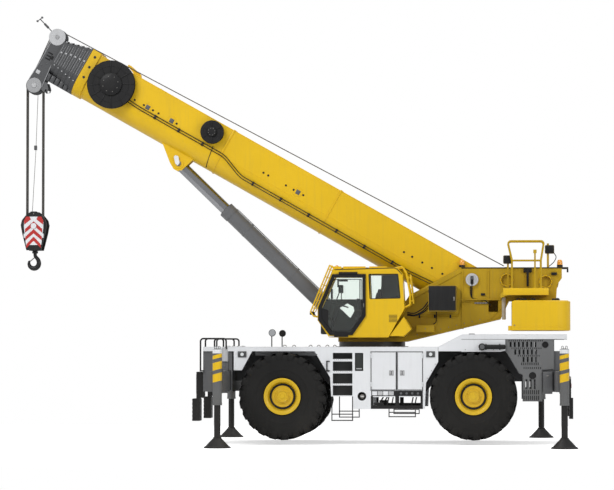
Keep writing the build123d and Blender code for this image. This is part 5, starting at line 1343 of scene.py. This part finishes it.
def make_side_fittings(side):
    """Doors' frames, steps, port, lamps and lower bays on one side of the chassis."""
    label = "left" if side == 1 else "right"
    fit = Piece(f"side_fittings_{label}", "chassis")
    fit.flip = -side

    def ys(out, inner=0.0):
        return SIDE_Y + out, SIDE_Y + inner

    # thin non-slip edges on the step treads
    for z in (1.802, 1.548, 1.286):
        fit.box((-0.776, -0.36), ys(0.004), about(z, 0.018), WHITE, 0.004)
        fit.slats(9, (0.045, 0), (-0.75, -0.734), ys(0.006), (z + 0.006, z + 0.018), LIGHT_GREY)
    for x in (-0.784, -0.352):
        fit.box(about(x, 0.007), ys(0.003), (1.03, 1.97), WHITE, 0.002)
    # dark grey sheets lining the step recesses: painted shade on the recessed white panel
    for low, high in ((1.829, 1.961), (1.574, 1.777), (1.306, 1.522), (1.051, 1.265)):
        low, high = low + 0.0005, high - 0.0005
        deep = ys(-0.012, -0.229)
        for xs, across, zs in ((STEP_XS, ys(-0.22, -0.229), (low, high)),
                               (STEP_XS, deep, (low, low + 0.0035)),
                               (STEP_XS, deep, (high - 0.0035, high)),
                               ((STEP_XS[0], STEP_XS[0] + 0.004), deep, (low, high)),
                               ((STEP_XS[1] - 0.004, STEP_XS[1]), deep, (low, high))):
            fit.box(xs, across, zs, RECESS_SHADE_GREY, 0)
    # black frame between and round the two doors
    if side == 1:
        fit.box((0.578, 0.602), ys(0.003), (1.172, 1.982), BLACK, 0.001)
        for x in (0.03, 1.141):
            fit.box((x, x + 0.009), ys(0.003), (1.15, 1.992), BLACK, 0)
        for z in (1.158, 1.984):
            fit.box((0.03, 1.15), ys(0.003), (z, z + 0.008), BLACK, 0)
    else:
        for xs in CABINETS.values():
            fit.box(xs, ys(0.004), (1.173, 1.98), WHITE, 0.006)
    # row of blank plates and filler caps under the doors
    fit.box((0.045, 1.145), ys(0.004), (1.04, 1.154), BLACK, 0.004)
    for k, x in enumerate((0.062, 0.18, 0.298, 0.416)):
        fit.box((x, x + 0.108), ys(0.006), (1.056, 1.142), LIGHT_HOSE if k % 2 else WHITE, 0.003)
    for x in (0.68, 0.8, 0.92, 1.04):
        fit.disc((x, SIDE_Y + 0.004, 1.097), Y, 0.026, 0.01, GREY, 0.003, 20)
    # posts and braces of the open lower bays
    for x0, x1 in ((0.035, 0.08), (0.555, 0.64), (1.095, 1.145)):
        fit.box((x0, x1), ys(0.006, -0.06), (0.766, 1.045), BLACK, 0.004)
    fit.box((0.035, 1.145), ys(0.005, -0.05), (0.766, 0.838), BLACK, 0.004)
    fit.box((0.1, 0.3), ys(-0.02, -0.2), (0.84, 0.9), BLACK, 0.006)
    for (x0, z0), (x1, z1), thick in (((0.21, 0.86), (0.3, 1.02), 0.016),
                                      ((0.42, 1.03), (0.38, 0.84), 0.014),
                                      ((0.94, 1.03), (0.9, 0.84), 0.014)):
        fit.wire(1.44, [(x0, z0), (x1, z1)], thick, BLACK, sides=8)
    # filler port with its cap and chain
    fit.disc((-0.156, 1.44, 1.034), Y, 0.1, 0.02, BLACK, 0.003, 36)
    fit.hoop((-0.156, SIDE_Y, 1.034), Y, 0.088, 0.005, BLACK, 40)
    fit.disc((-0.15, 1.455, 1.034), Y, 0.046, 0.03, STEEL, 0.006, 28)
    fit.box((-0.185, -0.115), ys(-0.012, -0.04), (1.026, 1.042), WHITE, 0.004)
    # cover behind the black inspection panel
    fit.box((-0.304, -0.128), ys(-0.02, -0.045), (1.576, 1.959), BLACK, 0.004)
    fit.box((-0.285, -0.147), ys(-0.016, -0.022), (1.6, 1.94), PLASTIC, 0.006)
    fit.box((-0.275, -0.157), ys(-0.013, -0.018), (1.61, 1.635), LIGHT_GREY, 0.002)
    # side lamps: round lens in a dark housing
    for x, z in ((-2.723, 1.929), (1.313, 1.931)):
        fit.box(about(x, 0.093), ys(0.024, 0.002), about(z, 0.064), LAMP_GREY, 0.012)
        fit.hoop((x, SIDE_Y + 0.024, z), Y, 0.044, 0.006, BLACK, 28)
        fit.disc((x, SIDE_Y + 0.02, z), Y, 0.04, 0.009, LENS, 0.004, 28)
    # bolts round the wheel arches and along the sill
    for x, z in ((-1.12, 1.93), (-0.99, 1.74), (-0.88, 1.56), (1.24, 1.42), (1.33, 1.58),
                 (1.41, 1.72), (-2.66, 1.66), (-2.58, 1.8), (-2.5, 1.93)):
        fit.disc((x, SIDE_Y, z), Y, 0.01, 0.007, STEEL, 0.002, 6)
    # edge strips of the slanting hood and the deck
    fit.wire(SIDE_Y, [(-3.56, 2.086), (1.472, 2.086), (1.958, 2.34), (1.99, 2.353), (4.21, 2.353)],
             0.005, WHITE, 0.02, 6)
    fit.wire(SIDE_Y, [(1.472, 1.998), (1.472, 2.085)], 0.004, GREY, sides=6)
    fit.wire(SIDE_Y + 0.001, [(1.97, 2.25), (4.21, 2.25)], 0.004, GREY, sides=6)
    for x in (2.05, 2.35, 2.65):
        fit.disc((x, SIDE_Y, 2.03), Y, 0.01, 0.007, STEEL, 0.002, 6)
    # lashing eyes on the deck
    for x in (-1.815, -1.26, -0.9):
        fit.hoop((x, 1.4, 2.092), Y, 0.034, 0.009, STEEL, 20)
        fit.box(about(x, 0.05), (1.43, 1.37), (DECK_TOP, DECK_TOP + 0.008), WHITE, 0.003)
    fit.done()


def make_doors():
    for name, handle in (("front", 0.474), ("rear", 0.706)):
        door = Piece(f"cabinet_door_trim_{name}", f"cabinet_door_{name}")
        x0, x1 = CABINETS[name]
        hinge = x0 + 0.03 if name == "front" else x1 - 0.03
        y = -SIDE_Y
        left, right, low, high = x0 + 0.006, x1 - 0.006, 1.18, 1.973
        corners = [(left, low), (right, low), (right, high), (left, high), (left, low),
                   (x0 + 0.2, low)]
        door.tube([(x, y, z) for x, z in corners], 0.003, GREY, 0.01, 6)
        # paddle latch with its lock barrel
        for x in about(handle, 0.026):
            door.box(about(x, 0.022), (y - 0.01, y), (1.478, 1.588), LIGHT_GREY, 0.0045)
            door.box(about(x, 0.01), (y - 0.014, y - 0.008), (1.5, 1.566), LIGHT_HOSE, 0.003)
        door.box(about(handle, 0.004), (y - 0.012, y), (1.486, 1.58), GREY, 0.002)
        door.disc((handle - 0.026, y - 0.014, 1.512), (0, -1, 0), 0.007, 0.004, STEEL, 0.002, 14)
        for z in (1.27, 1.88):
            door.bolts((hinge, y - 0.005, z), (0, -1, 0), 0.012, 2, 0.005, STEEL)
        door.done()


def make_hood_and_grille():
    hood = Piece("hood_and_grille_details", "chassis")
    for _ in hood.both_sides(-1):
        face = SIDE_Y
        # fine black bars in the cooling grille's rows: painted shade of the slot openings
        for x0, number, low, high in ((2.975, 17, 2.205, 2.235), (3.035, 15, 2.045, 2.075),
                                      (3.17, 11, 1.885, 1.915), (3.24, 9, 1.7, 1.755),
                                      (3.29, 9, 1.62, 1.66), (3.29, 8, 1.08, 1.17),
                                      (3.29, 8, 0.96, 1.05)):
            hood.slats(number, (0.044, 0), (x0, x0 + 0.018), (face, face + 0.004), (low, high),
                       SLOT_SHADE_BLACK)
        hood.disc((3.75, face - 0.045, 2.135), Y, 0.075, 0.02, BLACK, 0.003, 36)
        hood.hoop((3.75, face, 2.135), Y, 0.072, 0.006, GREY, 40)
        hood.hoop((3.48, face + 0.002, 1.477), Y, 0.07, 0.007, BLACK, 36)
        hood.disc((3.48, face, 1.477), Y, 0.066, 0.006, BLACK, 0.002, 36)
        # pressed frame lines and bolts of the panel
        hood.wire(face, [(2.915, 2.24), (3.935, 2.24), (3.935, 1.62), (3.67, 1.6), (3.67, 0.94),
                         (3.275, 0.94), (3.275, 1.5), (3.2, 1.53), (2.925, 1.98), (2.915, 2.24)],
                  0.005, GREY, 0.02, 6)
        for x, z in ((2.96, 2.22), (3.4, 2.225), (3.9, 2.22), (3.9, 1.65), (3.02, 1.86),
                     (3.16, 1.62), (3.3, 0.96), (3.65, 0.96)):
            hood.disc((x, face, z), Y, 0.011, 0.007, STEEL, 0.002, 6)
        hood.box((3.7, 3.9), (face + 0.064, face + 0.058), (1.1, 1.55), GREY, 0.006)
        hood.box((3.78, 3.83), (face + 0.072, face + 0.06), (1.46, 1.49), STEEL, 0.004)
    # lids, air grilles and handles on top of the hood
    for x0, x1 in ((2.1, 2.86), (3.02, 3.72)):
        hood.box((x0, x1), (-0.9, 0.9), (2.353, 2.361), WHITE, 0.006)
    hood.slats(18, (0.021, 0), (3.8, 3.809), (-1.1, 1.1), (2.354, 2.359), GREY)
    for y in (-0.7, 0.7):
        hood.box((2.12, 2.24), about(y, 0.02), (2.36, 2.376), BLACK, 0.006)
    # muffler's bands and tail pipe
    low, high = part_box("exhaust")
    x0, x1, y, z = low.x - SLEW.x, high.x - SLEW.x, (low.y + high.y) / 2, (low.z + high.z) / 2
    for x in (x0 + 0.12, x1 - 0.14):
        hood.disc((x, y, z), X, 0.064, 0.03, BLACK, 0.004, 30, 0.03)
    hood.disc((x0 + 0.055, y - 0.06, z), Y, 0.076, 0.12, BLACK, 0.012, 36)
    hood.disc((x0 + 0.055, y - 0.066, z), Y, 0.052, 0.01, GREY, 0.003, 30)
    hood.done()


def make_front_and_rear():
    ends = Piece("front_and_rear_fittings", "chassis")
    for side in ends.both_sides(-1):
        y = 1.2
        ends.slats(6, (0, -0.085), (-3.812, -3.645), about(y, 0.198), (0.925, 0.979), TRIM_RUBBER,
                   0.012)
        ends.box((-3.728, -3.722), about(y, 0.17), (1.08, 1.5), LIGHT_GREY, 0.002)
        for x, shift, z, way, radius, finish in (
                (-3.722, -0.08, 1.35, -1, 0.055, LENS), (-3.722, 0.08, 1.35, -1, 0.04, AMBER),
                (4.3, -0.08, 1.26, 1, 0.05, RED), (4.3, 0.08, 1.26, 1, 0.05, AMBER)):
            ends.disc((x, y + side * shift, z), (way, 0, 0), radius, 0.01, finish, 0.004, 28)
        # light cylinder and the bolted bracket beside the front jack
        pole = SIDE_Y - 0.03
        ends.disc((-3.095, pole, 1.775), Z, 0.07, 0.295, LIGHT_HOSE, 0.01, 30)
        ends.box((-3.17, -3.03), (1.462, 1.492), (1.1, 1.77), GREY, 0.006)
        for z in (1.2, 1.36, 1.52, 1.68):
            ends.disc((-3.1, 1.492, z), Y, 0.014, 0.008, STEEL, 0.003, 6)
        # round mirror on its pole
        ends.hoop((-2.08, 1.465, 2.39), Y, 0.072, 0.006, BLACK, 36)
        ends.disc((-2.08, 1.492, 2.39), Y, 0.066, 0.003, MIRROR, 0.001, 36)
    # front panel seams, tow eyes and winch opening
    x = -3.567
    for z in (1.35, 1.7):
        ends.box((x - 0.003, x), (-1.4, 1.4), about(z, 0.004), BLACK, 0)
    for y in (-0.55, 0.55):
        ends.plate([(-3.56, 1.16), (-3.66, 1.19), (-3.7, 1.25), (-3.66, 1.31), (-3.56, 1.34)],
                   about(y, 0.02), GREY, 0.006, ((-3.645, 1.25, 0.026),))
    ends.box((4.225, 4.262), (-0.16, 0.16), (1.3, 1.52), BLACK, 0.01)
    ends.turned([(0, 0.0), (0, 0.05), (0.05, 0.05), (0.07, 0.035), (0.07, 0.0)], (4.262, 0, 1.4),
                X, STEEL, 24)
    # black bars for the rear vent's slots: painted shade of the openings
    ends.slats(22, (0, 0.014), (4.225, 4.23), (-0.9, 0.9), (1.62, 1.626), SLOT_SHADE_BLACK)
    ends.done()


def make_deck():
    deck = Piece("deck_details", "chassis")
    # anti-slip fields, joints and covers on the deck
    for x0, x1, y0, y1 in ((-3.45, -2.45, -1.3, 1.3), (-2.35, -1.15, -1.3, 1.3),
                           (-1.05, -0.8, -1.36, -0.9)):
        deck.box((x0, x1), (y0, y1), (DECK_TOP, DECK_TOP + 0.0025), DECK_GRIT, 0)
    for x in (-2.4, -1.1, 1.1):
        deck.box(about(x, 0.004), (-1.49, 1.49), (DECK_TOP, DECK_TOP + 0.0035), GREY, 0)
    deck.disc((-3.0, 0.0, 2.0905), Z, 0.22, 0.012, WHITE, 0.006, 40)
    deck.bolts((-3.0, 0.0, 2.1025), Z, 0.185, 10, 0.012, STEEL)
    deck.bolts((0, 0, 2.089), Z, 0.775, 40, 0.016, STEEL)
    deck.done()


for facing in (1, -1):
    make_side_fittings(facing)
make_doors()
make_hood_and_grille()
make_front_and_rear()
make_deck()

# ---------------------------------------------------------------- stage, light and camera
def make_floor():
    material, graph, shader = principled("Floor")
    path = graph.add("LightPath")
    seen = graph.math("MULTIPLY", path.outputs["Is Camera Ray"], 0.55)
    for label, value in (("Base Color", (0.86, 0.86, 0.86, 1)), ("Roughness", 0.9),
                         ("Specular IOR Level", 0.1), ("Emission Color", (1, 1, 1, 1)),
                         ("Emission Strength", seen)):
        graph.feed(shader.inputs[label], value)
    bm = bmesh.new()
    bmesh.ops.create_grid(bm, x_segments=1, y_segments=1, size=13)
    mesh = bpy.data.meshes.new("floor")
    bm.to_mesh(mesh)
    bm.free()
    floor = bpy.data.objects.new("floor", mesh)
    floor.location = (SLEW.x + 1.0, 0, -0.002)
    mesh.materials.append(material)
    bpy.context.collection.objects.link(floor)


def make_world():
    world = bpy.data.worlds.new("Studio")
    bpy.context.scene.world = world
    world.use_nodes = True
    graph = Graph(world.node_tree)
    background = world.node_tree.nodes["Background"]
    path = graph.add("LightPath").outputs
    seen = graph.math("MAXIMUM", path["Is Camera Ray"], path["Is Transmission Ray"])
    graph.feed(background.inputs["Color"], (1, 1, 1, 1))
    graph.feed(background.inputs["Strength"], graph.remap(seen, 0.0, 1.0, 0.55, 1.0))


def make_light(name, place, target, size, power):
    lamp = bpy.data.lights.new(name, "AREA")
    lamp.shape = "RECTANGLE"
    lamp.size, lamp.size_y = size
    lamp.energy = power
    obj = bpy.data.objects.new(name, lamp)
    obj.location = place
    obj.rotation_euler = (Vector(target) - Vector(place)).to_track_quat("-Z", "Y").to_euler()
    bpy.context.collection.objects.link(obj)


CAMERA_BACK = 63.075  # from the machine's middle plane
CAMERA_HIGH = 2.109
CAMERA_X = SLEW.x + 2.775
CAMERA_LENS = 168.98
CAMERA_TURN = 3.815  # degrees to the front of the machine
CAMERA_TILT = 2.006  # degrees upwards


def make_camera():
    data = bpy.data.cameras.new("Camera")
    data.lens = CAMERA_LENS
    data.sensor_width = 36.0
    data.clip_end = 400.0
    camera = bpy.data.objects.new("Camera", data)
    camera.location = (CAMERA_X, -CAMERA_BACK, CAMERA_HIGH)
    camera.rotation_euler = (math.radians(90 + CAMERA_TILT), 0, math.radians(CAMERA_TURN))
    bpy.context.collection.objects.link(camera)
    bpy.context.scene.camera = camera


make_floor()
make_world()
make_light("Key", (-14, -24, 22), (0, 0, 3), (14, 10), 4700)
make_light("Fill", (22, -20, 12), (1, 0, 3), (14, 10), 1900)
make_light("Top", (0, 3, 26), (0, 0, 3), (20, 14), 2800)
make_camera()
bpy.context.scene.view_settings.view_transform = "Standard"
